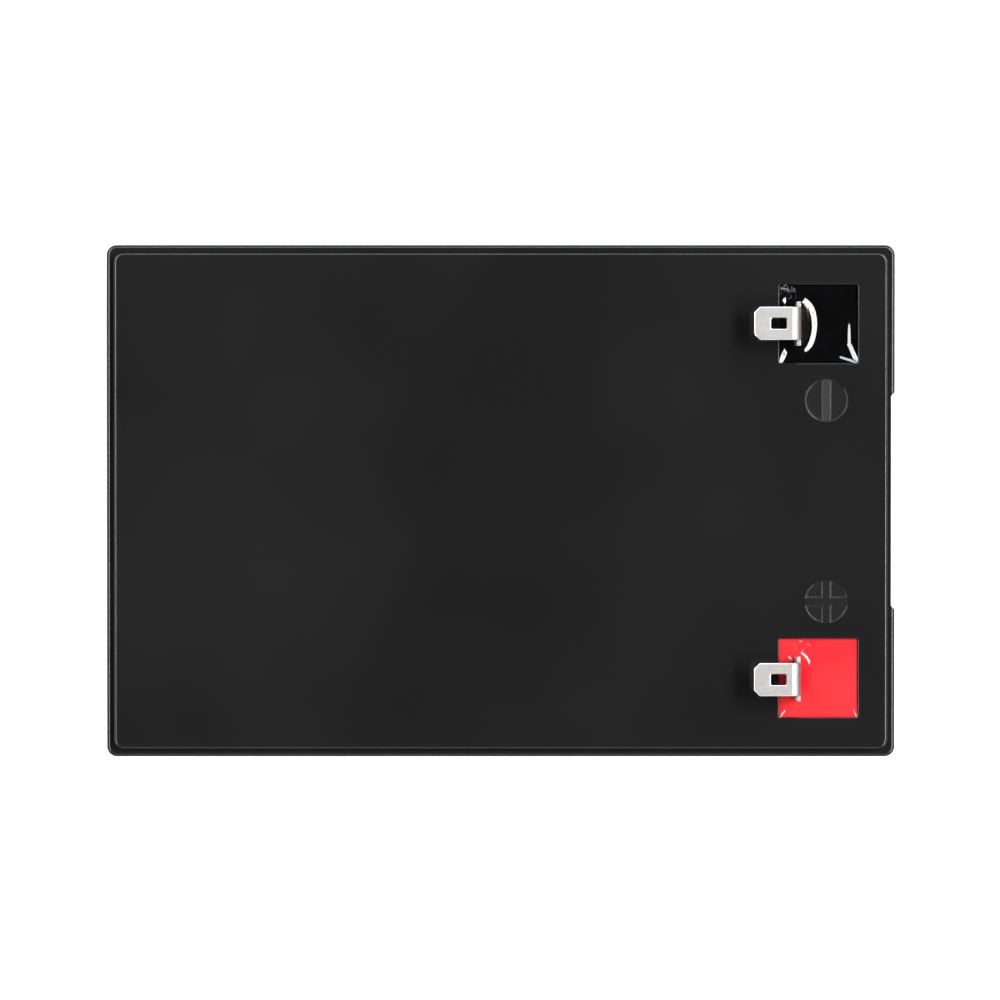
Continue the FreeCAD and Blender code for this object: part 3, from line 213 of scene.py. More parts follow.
class Effects:
    """Builds each effect once, as a shader node group with a Scale, a Mask and a Height."""

    CLOUD_RANGE = (0.32, 0.68)
    PIT_SHARE = 0.45
    CELL_WALL = 0.22
    FIBRE_TURNS, FIBRE_STRETCH = (18.0, 74.0), (1.0, 9.0, 1.0)
    WEAVE_WAVER = 0.4
    ROLL_TURN, ROLL_STRETCH = 6.0, (1.0, 14.0, 14.0)
    RUB_TURNS, RUB_STRETCH, RUB_RANGE = (23.0, 118.0), (1.0, 26.0, 26.0), (0.66, 0.74)

    def __init__(self) -> None:
        """Starts with no group built."""
        self._built: dict[Effect, Tree] = {}

    def place(
        self, wiring: Wiring, effect: Effect, scale: float, amount: float = 1.0
    ) -> tuple[Socket, Socket]:
        """Puts an effect into a material.

        Args:
            wiring: the material's wiring.
            effect: which effect.
            scale: repeats to the metre.
            amount: how strong its mask is.

        Returns:
            Its mask and its height.
        """
        if effect not in self._built:
            self._built[effect] = self._group(effect)
        sockets = {"Scale": scale, "Amount": amount}
        node = wiring.add("ShaderNodeGroup", sockets, node_tree=self._built[effect])
        return node.outputs["Mask"], node.outputs["Height"]

    def _group(self, effect: Effect) -> Tree:
        """Builds the group of one effect.

        Args:
            effect: which effect.

        Returns:
            The group.
        """
        group = bpy.data.node_groups.new(effect.value, "ShaderNodeTree")
        for in_out, names in (("INPUT", ("Scale", "Amount")), ("OUTPUT", ("Mask", "Height"))):
            for name in names:
                group.interface.new_socket(name, in_out=in_out, socket_type="NodeSocketFloat")
        wiring = Wiring(group)
        entry = wiring.add("NodeGroupInput").outputs
        pattern = getattr(self, f"_{effect.value}")(wiring, entry["Scale"])
        mask = wiring.times(pattern, entry["Amount"])
        wiring.add("NodeGroupOutput", {"Mask": mask, "Height": pattern})
        return group

    def _cloud(self, wiring: Wiring, scale: Socket) -> Socket:
        """Soft blotches, as where a moulding cooled unevenly."""
        return wiring.spread(wiring.noise(wiring.place(), scale), *self.CLOUD_RANGE)

    def _grain(self, wiring: Wiring, scale: Socket) -> Socket:
        """The fine even grain of a spark-eroded mould."""
        pits = wiring.times(wiring.cells(scale), self.PIT_SHARE)
        return wiring.plus(pits, wiring.noise(wiring.place(), scale, detail=4.0))

    def _cells(self, wiring: Wiring, scale: Socket) -> Socket:
        """The cut bubbles of a closed-cell foam."""
        return wiring.spread(wiring.cells(scale, "DISTANCE_TO_EDGE"), 0.0, self.CELL_WALL, 1.0, 0.0)

    def _fibres(self, wiring: Wiring, scale: Socket) -> Socket:
        """Short fibres that cross each other, as in a pressed sheet."""
        places = (wiring.place(turn, self.FIBRE_STRETCH) for turn in self.FIBRE_TURNS)
        return wiring.maths("MAXIMUM", *(wiring.noise(place, scale, 3.0) for place in places))

    def _weave(self, wiring: Wiring, scale: Socket) -> Socket:
        """Glass cloth that shows faintly through a laminate.

        Args:
            wiring: the group's wiring.
            scale: repeats to the metre.

        Returns:
            The pattern.
        """
        bands = []
        for direction in ("X", "Y"):
            sockets = {"Vector": wiring.place(), "Scale": scale, "Distortion": self.WEAVE_WAVER}
            wave = wiring.add("ShaderNodeTexWave", sockets, bands_direction=direction)
            bands.append(wave.outputs["Fac"])
        return wiring.times(*bands)

    def _rolled(self, wiring: Wiring, scale: Socket) -> Socket:
        """Faint lines along a rolled strip."""
        return wiring.noise(wiring.place(self.ROLL_TURN, self.ROLL_STRETCH), scale, detail=4.0)

    def _scuff(self, wiring: Wiring, scale: Socket) -> Socket:
        """Sparse hairline rubs in two directions."""
        lines = (wiring.noise(wiring.place(t, self.RUB_STRETCH), scale) for t in self.RUB_TURNS)
        return wiring.maths("MAXIMUM", *(wiring.spread(line, *self.RUB_RANGE) for line in lines))


EFFECTS = Effects()


@dataclass(frozen=True)
class Finish:
    """The finish of one material slot: a tone that an effect varies, with its gloss and relief."""

    slot: str
    tone: Colour
    second: Colour
    effect: Effect = Effect.CLOUD
    scale: float = 60.0
    contrast: float = 0.5
    roughness: float = 0.45
    roughness_swing: float = 0.1
    metallic: float = 0.0
    relief: float = 0.02 * MM
    relief_scale: float = 2500.0
    bend: float = 1.5

    def build(self) -> bpy.types.Material:
        """Makes the material.

        Returns:
            The material, named for its slot.
        """
        material = bpy.data.materials.new(self.slot)
        material.use_nodes = True
        material.node_tree.nodes.clear()
        wiring = Wiring(material.node_tree)
        sockets = dict(zip(("Base Color", "Roughness", "Normal"), self.surface(wiring)))
        sockets |= {"Metallic": self.metallic, "IOR": self.bend}
        shader = wiring.add("ShaderNodeBsdfPrincipled", sockets)
        wiring.add("ShaderNodeOutputMaterial", {"Surface": shader.outputs["BSDF"]})
        material.diffuse_color = self.tone
        return material

    def surface(self, wiring: Wiring) -> tuple[Socket, Socket, Socket]:
        """Wires a varied tone with rubs and fine grain.

        Args:
            wiring: the material's wiring.

        Returns:
            The colour, the roughness and the normal.
        """
        mask, pattern = EFFECTS.place(wiring, self.effect, self.scale, self.contrast)
        rubs = EFFECTS.place(wiring, Effect.SCUFF, self.scale, self.roughness_swing)[0]
        grain = EFFECTS.place(wiring, Effect.GRAIN, self.relief_scale)[1]
        swing = wiring.times(pattern, self.roughness_swing)
        worn = wiring.plus(swing, rubs)
        roughness = wiring.plus(worn, self.roughness, clamp=True)
        colour = wiring.blend(self.tone, self.second, mask)
        return colour, roughness, wiring.bump(grain, self.relief)


@dataclass(frozen=True)
class MouldedCase(Finish):
    """Black moulded plastic: satin, finely grained, faintly cloudy, and duller on the marks."""

    swell: float = 0.02 * MM
    swell_scale: float = 3.0
    mark_top: float = 0.0
    mark_end: float = 0.0
    mark_radius: float = 4.05 * MM
    mark_depth: float = 0.5 * MM
    bar_half: float = 0.78 * MM
    bar_depth: float = 0.05 * MM
    duller_mark: float = 0.07
    duller_bar: float = 0.13

    def surface(self, wiring: Wiring) -> tuple[Socket, Socket, Socket]:
        """Lays fine grain on broad swells, so that reflections waver as on a real moulding.

        Args:
            wiring: the material's wiring.

        Returns:
            The colour, the roughness and the normal.
        """
        mask, clouds = EFFECTS.place(wiring, Effect.CLOUD, self.scale, self.contrast)
        swells = EFFECTS.place(wiring, Effect.CLOUD, self.scale * self.swell_scale)[1]
        grain = EFFECTS.place(wiring, Effect.GRAIN, self.relief_scale)[1]
        swing = wiring.times(clouds, self.roughness_swing)
        even = wiring.plus(swing, self.roughness)
        roughness = wiring.plus(even, self._dullness(wiring))
        colour = wiring.blend(self.tone, self.second, mask)
        return colour, roughness, wiring.bump(grain, self.relief, wiring.bump(swells, self.swell))

    def _dullness(self, wiring: Wiring) -> Socket:
        """How much duller the two sunk marks are, and the minus bar most of all.

        Args:
            wiring: the material's wiring.

        Returns:
            What the marks add to the roughness.
        """
        parts = wiring.add("ShaderNodeSeparateXYZ", {"Vector": wiring.own()}).outputs
        side = wiring.maths("ABSOLUTE", parts["Y"])
        flat = wiring.add("ShaderNodeCombineXYZ", {"X": parts["X"], "Y": side}).outputs[0]
        middle = {0: flat, 1: (self.mark_end, MARK_FROM_MIDDLE, 0.0)}
        away = wiring.add("ShaderNodeVectorMath", middle, operation="DISTANCE").outputs["Value"]
        inside = wiring.maths("LESS_THAN", away, self.mark_radius)
        near_top = wiring.maths("GREATER_THAN", parts["Z"], self.mark_top - self.mark_depth)
        mark = wiring.times(inside, near_top)
        strip = wiring.maths("COMPARE", parts["X"], self.mark_end, self.bar_half)
        negative = wiring.maths("GREATER_THAN", parts["Y"], 0.0)
        raised = wiring.maths("GREATER_THAN", parts["Z"], self.mark_top - self.bar_depth)
        bar = wiring.times(wiring.times(strip, negative), raised)
        extra = wiring.times(bar, self.duller_bar)
        return wiring.times(mark, wiring.plus(extra, self.duller_mark))


@dataclass(frozen=True)
class TinPlate(Finish):
    """Dull tin on brass: pale, mottled, with faint rolling lines, smoother on its coined edges, and
    with highlights painted into its colour on the bend and on the rims that face the lights.
    """

    # The painted highlight colour, blended in where the blade's mask is set.
    bright: Colour = (0.95, 0.95, 0.94, 1.0)
    smoother: float = -0.22
    mottle_scale: float = 3.0

    def surface(self, wiring: Wiring) -> tuple[Socket, Socket, Socket]:
        """Lays rolling lines and small mottles over each other. Where the blade's mask is set, it
        paints a highlight into the colour and lowers the roughness.

        Args:
            wiring: the material's wiring.

        Returns:
            The colour, the roughness and the normal.
        """
        # The blade's mask is partly a real burnish, which lowers the roughness, and partly a
        # painted highlight, which lightens the colour.
        burnish_and_highlight_share = wiring.attribute(Blade.BURNISHED)
        lined, lines = EFFECTS.place(wiring, Effect.ROLLED, self.scale, self.contrast)
        fine_scale = self.scale * self.mottle_scale
        mottled, mottles = EFFECTS.place(wiring, Effect.CLOUD, fine_scale, self.contrast)
        grain = EFFECTS.place(wiring, Effect.GRAIN, self.relief_scale)[1]
        share = wiring.plus(lined, mottled, clamp=True)
        colour = wiring.blend(wiring.blend(self.tone, self.second, share), self.bright, burnish_and_highlight_share)
        swing = wiring.times(mottles, self.roughness_swing)
        sheen = wiring.times(burnish_and_highlight_share, self.smoother)
        varied = wiring.plus(swing, self.roughness)
        roughness = wiring.plus(varied, sheen, clamp=True)
        return colour, roughness, wiring.bump(lines, self.relief, wiring.bump(grain, self.relief))


@dataclass(frozen=True)
class CastResin(Finish):
    """Glossy potting resin with a second, duller tone in a zone: on the black resin it is the brown
    crinkled skin in front of the terminal, and on the red resin it is painted shade.
    """

    # The zone's tone: by default the brown of crinkled skin. The red resin's deeper red is painted
    # shade.
    wrinkled: Colour = (0.0036, 0.0026, 0.0018, 1.0)
    bend: float = 1.55

    def surface(self, wiring: Wiring) -> tuple[Socket, Socket, Socket]:
        """Mixes the glossy skin with the zone's duller, crinkled tone by the piece's own attribute.
        On the red resin that tone is painted shade.

        Args:
            wiring: the material's wiring.

        Returns:
            The colour, the roughness and the normal.
        """
        zone = wiring.attribute(Pour.WRINKLES)
        tint = EFFECTS.place(wiring, Effect.CLOUD, self.scale, self.contrast)[0]
        crinkle = EFFECTS.place(wiring, Effect.GRAIN, self.relief_scale)[1]
        colour = wiring.blend(wiring.blend(self.tone, self.second, tint), self.wrinkled, zone)
        dull = wiring.times(zone, self.roughness_swing)
        roughness = wiring.plus(dull, self.roughness, clamp=True)
        return colour, roughness, wiring.bump(wiring.times(crinkle, zone), self.relief)


class Finishes:
    """Every finish of the battery, built when a piece first asks for it."""

    FINE, COARSE = 0.01 * MM, 0.08 * MM

    def __init__(self) -> None:
        """Lists the finishes by slot."""
        self._built: dict[str, bpy.types.Material] = {}
        self._finishes = {finish.slot: finish for finish in (*self._shell(), *self._inside())}

    def __getitem__(self, slot: str) -> bpy.types.Material:
        """The material of a slot."""
        built = self._built.get(slot) or self._finishes[slot].build()
        return self._built.setdefault(slot, built)

    def _shell(self) -> list[Finish]:
        """The finishes of the case, lid, terminals and resin.

        Returns:
            The finishes.
        """
        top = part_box("lid")[1]
        return [
            MouldedCase(
                "case_plastic", (0.007, 0.007, 0.007, 1.0), (0.0098, 0.0098, 0.0098, 1.0),
                scale=16.0, contrast=0.9, roughness=0.17, roughness_swing=0.03,
                relief=0.001 * MM, relief_scale=3000.0,
                mark_top=top.z, mark_end=top.x - MARK_FROM_END,
            ),
            TinPlate(
                "tinned_brass", screen(154, 153, 150), screen(141, 139, 135),
                scale=240.0, contrast=0.5, roughness=0.5, roughness_swing=0.1, metallic=1.0,
                relief=self.FINE, relief_scale=5000.0,
            ),
            CastResin(
                "resin_black", (0.0014, 0.0014, 0.0016, 1.0), (0.0028, 0.0028, 0.0032, 1.0),
                scale=90.0, contrast=0.8, roughness=0.04, roughness_swing=0.03,
                relief=0.065 * MM, relief_scale=2600.0,
            ),
            # Its zone tone is painted shade round the plate, under the tab and along the walls.
            CastResin(
                "resin_red", (0.68, 0.02, 0.026, 1.0), (0.76, 0.034, 0.04, 1.0),
                scale=110.0, contrast=0.9, roughness=0.06, roughness_swing=0.02,
                relief=0.03 * MM, relief_scale=1800.0, wrinkled=(0.58, 0.01, 0.018, 1.0),
            ),
        ]

    def _inside(self) -> list[Finish]:
        """The finishes of what the case holds: cells, sheets, leads and the board.

        Returns:
            The finishes.
        """
        # Slot, its two tones, effect, then the effect's scale and contrast, the roughness and its
        # swing, metallic, the relief and its scale where it isn't the usual one.
        cloud, grain, rolled = Effect.CLOUD, Effect.GRAIN, Effect.ROLLED
        fine, coarse = self.FINE, self.COARSE
        rows = (
            ("cell_steel", (176, 176, 172), (150, 150, 148), rolled, 200, 0.5, 0.3, 0.1, 1, fine),
            ("cell_sleeve", (32, 86, 158), (26, 74, 140), cloud, 90, 0.6, 0.28, 0.08, 0, fine, 900),
            ("nickel", (204, 198, 184), (180, 174, 162), rolled, 260, 0.6, 0.36, 0.12, 1, fine),
            ("holder_plastic", (40, 42, 44), (52, 54, 56), cloud, 70, 0.4, 0.5, 0.08, 0, fine),
            ("tape_film", (206, 132, 34), (176, 104, 24), cloud, 80, 0.6, 0.24, 0.1, 0, fine, 600),
            ("fish_paper", (96, 116, 104), (122, 140, 126), Effect.FIBRES,
             420, 0.8, 0.8, 0.1, 0, coarse, 1800),
            ("foam", (46, 46, 48), (66, 66, 68), Effect.CELLS,
             900, 0.8, 0.9, 0.05, 0, coarse, 1200),
            ("lead_red", (176, 22, 24), (156, 18, 20), cloud,
             120, 0.5, 0.42, 0.08, 0, fine, 1500),
            ("lead_black", (24, 24, 26), (34, 34, 36), cloud,
             120, 0.5, 0.42, 0.08, 0, fine, 1500),
            ("wire_white", (228, 226, 220), (212, 210, 202), cloud,
             160, 0.5, 0.42, 0.08, 0, fine, 2000),
            ("board_laminate", (18, 84, 48), (26, 104, 60), Effect.WEAVE,
             900, 0.7, 0.3, 0.1, 0, fine),
            ("chip_plastic", (26, 26, 28), (38, 38, 40), grain, 3000, 0.6, 0.6, 0.08, 0, fine),
            ("shunt_metal", (184, 140, 104), (160, 120, 90), rolled, 300, 0.5, 0.4, 0.1, 1, fine),
            ("capacitor_ceramic", (172, 138, 98), (150, 118, 82), grain,
             2500, 0.5, 0.55, 0.08, 0, fine),
            ("connector_plastic", (236, 232, 220), (222, 218, 204), cloud,
             120, 0.5, 0.45, 0.08, 0, fine),
        )
        return [Finish(slot, screen(*one), screen(*two), *rest) for slot, one, two, *rest in rows]


FINISHES = Finishes()


def keep(piece: Piece, slot: str, *nodes: str) -> Piece:
    """Makes a finished piece part of the battery.

    Args:
        piece: the piece, in its place.
        slot: the record's material slot that it shows.
        nodes: the solids that it stands for.

    Returns:
        The same piece.
    """
    if not piece.data.materials:
        piece.data.materials.append(FINISHES[slot])
    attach(piece, BODY)
    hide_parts(*nodes)
    log.info("%s: %d faces, stands for %s", piece.name, len(piece.data.polygons), ", ".join(nodes))
    return piece


def fold(edge: Edge) -> float:
    """The angle between an edge's two faces, in degrees."""
    return math.degrees(edge.calc_face_angle(0.0))


def new_piece(name: str, shape: Shape, sharp_above: float = 38.0) -> Piece:
    """Turns a shape in work into an object of the scene, smooth but for its sharp edges.

    Args:
        name: the piece's name.
        shape: its shape, which is used up.
        sharp_above: the angle in degrees from which an edge stays sharp.

    Returns:
        The object, at the origin.
    """
    for edge in shape.edges:
        edge.smooth = fold(edge) < sharp_above
    for face in shape.faces:
        face.smooth = True
    mesh = bpy.data.meshes.new(name)
    shape.to_mesh(mesh)
    shape.free()
    piece = bpy.data.objects.new(name, mesh)
    bpy.context.scene.collection.objects.link(piece)
    return piece


def flatten_faces(piece: Piece) -> Piece:
    """Lets the large faces of a piece lead its shading, so that they look flat."""
    piece.modifiers.new("flat_faces", "WEIGHTED_NORMAL").keep_sharp = True
    return piece


def fill_flat(shape: Shape, outlines: list[list[Vert]]) -> None:
    """Fills a flat outline with triangles, which come out the same on every run.

    Args:
        shape: the shape in work.
        outlines: the outline's vertices in order, then those of each hole.
    """
    verts = [vert for outline in outlines for vert in outline]
    for corners in tessellate_polygon([[vert.co for vert in line] for line in outlines]):
        shape.faces.new([verts[corner] for corner in corners])


def open_rims(shape: Shape) -> list[list[Vert]]:
    """Walks round each open rim of a shape.

    Args:
        shape: the shape in work, whose edges are numbered.

    Returns:
        The vertices of each rim, in order.
    """
    left = {edge.index: edge for edge in shape.edges if edge.is_boundary}
    rims = []
    while left:
        rim = list(left.pop(min(left)).verts)
        while ahead := [edge for edge in rim[-1].link_edges if edge.index in left]:
            rim.append(left.pop(ahead[0].index).other_vert(rim[-1]))
        rims.append(rim[:-1])
    return rims


def new_geometry_tree(name: str, **inputs: tuple[str, ...]) -> tuple[Wiring, dict[str, Socket]]:
    """Starts a Geometry Nodes tree with a Geometry, a Material and further named inputs.

    Args:
        name: the tree's name.
        inputs: for each kind of socket, such as Float, the names of its inputs.

    Returns:
        The tree's wiring, and what feeds it, by name.
    """
    tree = bpy.data.node_groups.new(name, "GeometryNodeTree")
    for kind, labels in {"Geometry": ("Geometry",), **inputs, "Material": ("Material",)}.items():
        for label in labels:
            tree.interface.new_socket(label, in_out="INPUT", socket_type=f"NodeSocket{kind}")
    tree.interface.new_socket("Geometry", in_out="OUTPUT", socket_type="NodeSocketGeometry")
    wiring = Wiring(tree)
    return wiring, wiring.add("NodeGroupInput").outputs


def close_geometry_tree(wiring: Wiring, result: Socket, material: Socket) -> Tree:
    """Ends a tree in Realize Instances and Set Material.

    Args:
        wiring: the tree's wiring.
        result: the geometry that it made.
        material: the finish for it.

    Returns:
        The tree.
    """
    real = wiring.add("GeometryNodeRealizeInstances", {"Geometry": result}).outputs[0]
    dressed = wiring.add("GeometryNodeSetMaterial", {"Geometry": real, "Material": material})
    wiring.add("NodeGroupOutput", {"Geometry": dressed.outputs[0]})
    return wiring.tree


def run_tree(piece: Piece, tree: Tree, values: dict[str, object]) -> None:
    """Runs a Geometry Nodes tree on a piece, and keeps the plain mesh that it makes.

    Args:
        piece: the piece.
        tree: the tree.
        values: the value of each named input, which is set by its socket's identifier.
    """
    modifier = piece.modifiers.new(tree.name, "NODES")
    modifier.node_group = tree
    for item in tree.interface.items_tree:
        if item.in_out == "INPUT" and item.name in values:
            modifier[item.identifier] = values[item.name]
    bpy.context.view_layer.update()
    ready = piece.evaluated_get(bpy.context.evaluated_depsgraph_get())
    made = bpy.data.meshes.new_from_object(ready)
    piece.modifiers.clear()
    piece.data = made


@dataclass
class Moulding:
    """A moulded shell: its solid's form, with the fine rounds that a mould gives its edges."""

    node: str
    name: str
    edge_round: float = 0.1 * MM
    round_steps: int = 3
    weld: float = 0.001 * MM

    def __post_init__(self) -> None:
        """Reads the shell's box from the frame."""
        self.low, self.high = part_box(self.node)

    def build(self) -> Piece:
        """Models the shell and makes it part of the battery.

        Returns:
            The finished piece.
        """
        shape = bmesh.new()
        shape.from_mesh(frame["nodes"][self.node].data)
        bmesh.ops.remove_doubles(shape, verts=shape.verts, dist=self.weld)
        if edges := [edge for edge in shape.edges if self.is_fine(edge)]:
            rounds = {"offset": self.edge_round, "segments": self.round_steps, "profile": 0.5}
            bmesh.ops.bevel(shape, geom=edges, affect="EDGES", **rounds)
        piece = new_piece(self.name, shape)
        piece.data.materials.append(FINISHES["case_plastic"])
        self.add_details(piece)
        return keep(flatten_faces(piece), "case_plastic", self.node)

    def is_fine(self, edge: Edge) -> bool:
        """Whether an edge gets the fine round; none does on a plain shell."""
        return False

    def add_details(self, piece: Piece) -> None:
        """Adds what repeats on the moulding; here nothing."""


@dataclass
class Case(Moulding):
    """The case, with the round marks that the mould's ejector pins left under its floor."""

    pin_radius: float = 3.0 * MM
    pin_depth: float = 0.15 * MM
    pin_sides: int = 48
    pins_along: int = 5
    pins_across: int = 3
    foot: float = 7.0 * MM
    foot_height: float = 0.8 * MM
    margin: float = 12.0 * MM

    def add_details(self, piece: Piece) -> None:
        """Sinks the pin marks into the floor.

        Args:
            piece: the case.
        """
        spare = 2 * (self.foot + self.margin)
        values = {
            "Length": self.high.x - self.low.x - spare,
            "Width": self.high.y - self.low.y - spare,
            "Along": self.pins_along,
            "Across": self.pins_across,
            "Radius": self.pin_radius,
            "Depth": 2 * self.pin_depth,
            "Height": self.foot_height,
            "Material": FINISHES["case_plastic"],
        }
        run_tree(piece, self._pin_marks(), values)

    def _pin_marks(self) -> Tree:
        """Builds the tree that cuts a grid of round marks out of a shape.

        Returns:
            The tree.
        """
        wiring, entry = new_geometry_tree(
            "pin_marks", Float=("Length", "Width", "Radius", "Depth", "Height"),
            Int=("Along", "Across"),
        )
        sides = {"Size X": "Length", "Size Y": "Width", "Vertices X": "Along"}
        sides["Vertices Y"] = "Across"
        grid = {socket: entry[name] for socket, name in sides.items()}
        points = wiring.add("GeometryNodeMeshGrid", grid).outputs["Mesh"]
        lift = wiring.add("ShaderNodeCombineXYZ", {"Z": entry["Height"]}).outputs[0]
        moved = wiring.add("GeometryNodeTransform", {"Geometry": points, "Translation": lift})
        pin = {"Vertices": self.pin_sides, "Radius": entry["Radius"], "Depth": entry["Depth"]}
        mark = wiring.add("GeometryNodeMeshCylinder", pin).outputs["Mesh"]
        rows = {"Points": moved.outputs[0], "Instance": mark}
        marks = wiring.add("GeometryNodeInstanceOnPoints", rows).outputs["Instances"]
        solid = wiring.add("GeometryNodeRealizeInstances", {"Geometry": marks}).outputs[0]
        shapes = {"Mesh 1": entry["Geometry"], "Mesh 2": solid}
        cut = wiring.add("GeometryNodeMeshBoolean", shapes, operation="DIFFERENCE")
        return close_geometry_tree(wiring, cut.outputs["Mesh"], entry["Material"])


@dataclass
class Lid(Moulding):
    """The lid, with softly rounded polarity marks."""

    edge_round: float = 0.14 * MM
    round_steps: int = 4
    mark_reach: float = 4.6 * MM
    mark_zone: float = 0.48 * MM
    steep: float = 60.0

    def is_fine(self, edge: Edge) -> bool:
        """Whether an edge belongs to the rim or the floor of one of the two marks.

        Args:
            edge: the edge.

        Returns:
            Whether it does.
        """
        middle = (edge.verts[0].co + edge.verts[1].co) / 2
        along = middle.x - (self.high.x - MARK_FROM_END)
        inside = math.hypot(along, abs(middle.y) - MARK_FROM_MIDDLE) < self.mark_reach
        return inside and middle.z > self.high.z - self.mark_zone and fold(edge) > self.steep


class Pole(Enum):
    """The two terminals: the side of the case that each is on."""

    NEGATIVE = 1
    POSITIVE = -1

    @property
    def word(self) -> str:
        """The pole's name in lower case."""
        return self.name.lower()


@dataclass
class Blade:
    """A tinned blade: stamped flat with shoulders and a hole, coined at its edges, then bent."""

    # Face attribute: where the tin has a real burnish, and where a highlight is painted into its
    # colour.
    BURNISHED = "burnished"

    pole: Pole
    width: float = 6.35 * MM
    thick: float = 0.8 * MM
    inner_bend: float = 0.95 * MM
    nose_cut: float = 1.1 * MM
    shoulder_drop: float = 2.2 * MM
    hole_length: float = 2.98 * MM
    hole_width: float = 2.1 * MM
    hole_corner: float = 0.3 * MM
    hole_from_nose: float = 4.7 * MM
    hole_reach: float = 2.1 * MM
    coined: float = 0.17 * MM
    hole_break: float = 0.14 * MM
    bend_rows: int = 14
    bend_margin: float = 0.12 * MM
    # Painted highlight on the bend: its strength, and the share of the bend that it covers from the
    # bend's start.
    bend_sheen: float = 0.2
    bend_sheen_share: float = 0.5
    snap: float = 1e-7
    # The weaker painted highlight on rims that face away from the lights or lie beyond the bend.
    worn_sheen: float = 0.3
    corner_steps: int = 6
    round_steps: int = 3
    steep: float = 60.0
    turned_down: float = -0.5
    turned_up: float = 0.2

    def __post_init__(self) -> None:
        """Reads the blade's box and works out where along the blank its bend starts and ends."""
        self.low, self.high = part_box(f"{self.pole.word}_terminal")
        self.middle_radius = self.inner_bend + self.thick / 2
        self.bend_start = self.high.x - self.low.x - self.inner_bend - self.thick
        self.bend_end = self.bend_start + self.middle_radius * math.pi / 2
        bend_length = self.bend_end - self.bend_start
        self.sheen_end = self.bend_start + self.bend_sheen_share * bend_length
        self.bend_drop = self.inner_bend + self.thick
        self.centre_y = (self.low.y + self.high.y) / 2

    def build(self) -> Piece:
        """Models the blade and makes it part of the battery.

        Returns:
            The finished piece.
        """
        shape = self._blank()
        self._thicken(shape)
        for vert in shape.verts:
            vert.co = self._bent(vert.co)
        bmesh.ops.recalc_face_normals(shape, faces=shape.faces)
        piece = new_piece(f"{self.pole.word}_blade", shape, sharp_above=50.0)
        return keep(flatten_faces(piece), "tinned_brass", f"{self.pole.word}_terminal")

    def _outline(self) -> list[tuple[float, float]]:
        """Draws the blank's outline.

        Returns:
            Its corners: along from the nose, across from the middle.
        """
        half = self.width / 2
        wide = (self.high.y - self.low.y) / 2
        shoulder = self.bend_end + self.shoulder_drop - self.bend_drop
        foot = self.bend_end + self.high.z - self.low.z - self.bend_drop
        side = [(0.0, half - self.nose_cut), (self.nose_cut, half), (shoulder, half)]
        side += [(shoulder, wide), (foot, wide)]
        return side + [(along, -across) for along, across in reversed(side)]

    def _hole(self) -> list[tuple[float, float]]:
        """Draws the outline of the hole, with round corners.

        Returns:
            Its points, like the outline's.
        """
        half_length = self.hole_length / 2 - self.hole_corner
        half_width = self.hole_width / 2 - self.hole_corner
        points = []
        for quarter, (along, across) in enumerate(((1, 1), (-1, 1), (-1, -1), (1, -1))):
            for step in range(self.corner_steps + 1):
                angle = (quarter + step / self.corner_steps) * math.pi / 2
                x = self.hole_from_nose + along * half_length + self.hole_corner * math.cos(angle)
                points.append((x, across * half_width + self.hole_corner * math.sin(angle)))
        return points

    def _blank(self) -> Shape:
        """Stamps the flat face of the blank, cut into rows where it will bend.

        Returns:
            The shape.
        """
        shape = bmesh.new()
        outlines = (self._outline(), self._hole())
        fill_flat(shape, [[shape.verts.new((*spot, 0.0)) for spot in line] for line in outlines])
        rows = np.linspace(self.bend_start, self.bend_end, self.bend_rows + 1)
        for along in (rows[0] - self.bend_margin, *rows, rows[-1] + self.bend_margin):
            geometry = [*shape.verts, *shape.edges, *shape.faces]
            plane = {"plane_co": (along, 0, 0), "plane_no": (1, 0, 0), "dist": self.snap}
            bmesh.ops.bisect_plane(shape, geom=geometry, **plane)
        return shape

    def _thicken(self, shape: Shape) -> None:
        """Gives the blank its thickness, coins its edges and marks where a burnish and a painted
        highlight go.

        Args:
            shape: the flat blank.
        """
        extruded = bmesh.ops.extrude_face_region(shape, geom=list(shape.faces))
        raised = [item for item in extruded["geom"] if isinstance(item, Vert)]
        bmesh.ops.translate(shape, verts=raised, vec=(0, 0, self.thick))
        bmesh.ops.recalc_face_normals(shape, faces=shape.faces)
        sheen = shape.faces.layers.float.new(self.BURNISHED)
        rims = [edge for edge in shape.edges if fold(edge) > self.steep and self._on_rim(edge)]
        outer = [edge for edge in rims if not self._at_hole(edge)]
        inner = [edge for edge in rims if self._at_hole(edge)]
        rounded = {"segments": self.round_steps, "profile": 0.5, "affect": "EDGES"}
        punched = bmesh.ops.bevel(shape, geom=inner, offset=self.hole_break, **rounded)
        coined = bmesh.ops.bevel(shape, geom=outer, offset=self.coined, **rounded)
        # Painted highlight along the first part of the bend, where the lights reflect.
        for face in shape.faces:
            along = face.calc_center_median().x
            face[sheen] = self.bend_sheen * (self.bend_start < along < self.sheen_end)
        # Painted highlight on the coined rims of the tab that do not face -Y and so face the
        # lights. The other rims get a weaker one.
        for face in coined["faces"]:
            bright = face.calc_center_median().x < self.bend_start
            bright = bright and face.normal.y > self.turned_down
            face[sheen] = 1.0 if bright else self.worn_sheen
        # Painted highlight on the hole's rounded rims that face +X or +Y, towards the lights.
        for face in punched["faces"]:
            if face.is_valid and max(face.normal.x, face.normal.y) > self.turned_up:
                face[sheen] = 1.0

    def _on_rim(self, edge: Edge) -> bool:
        """Whether an edge lies in one of the blank's two faces."""
        return abs(edge.verts[0].co.z - edge.verts[1].co.z) < self.thick / 2

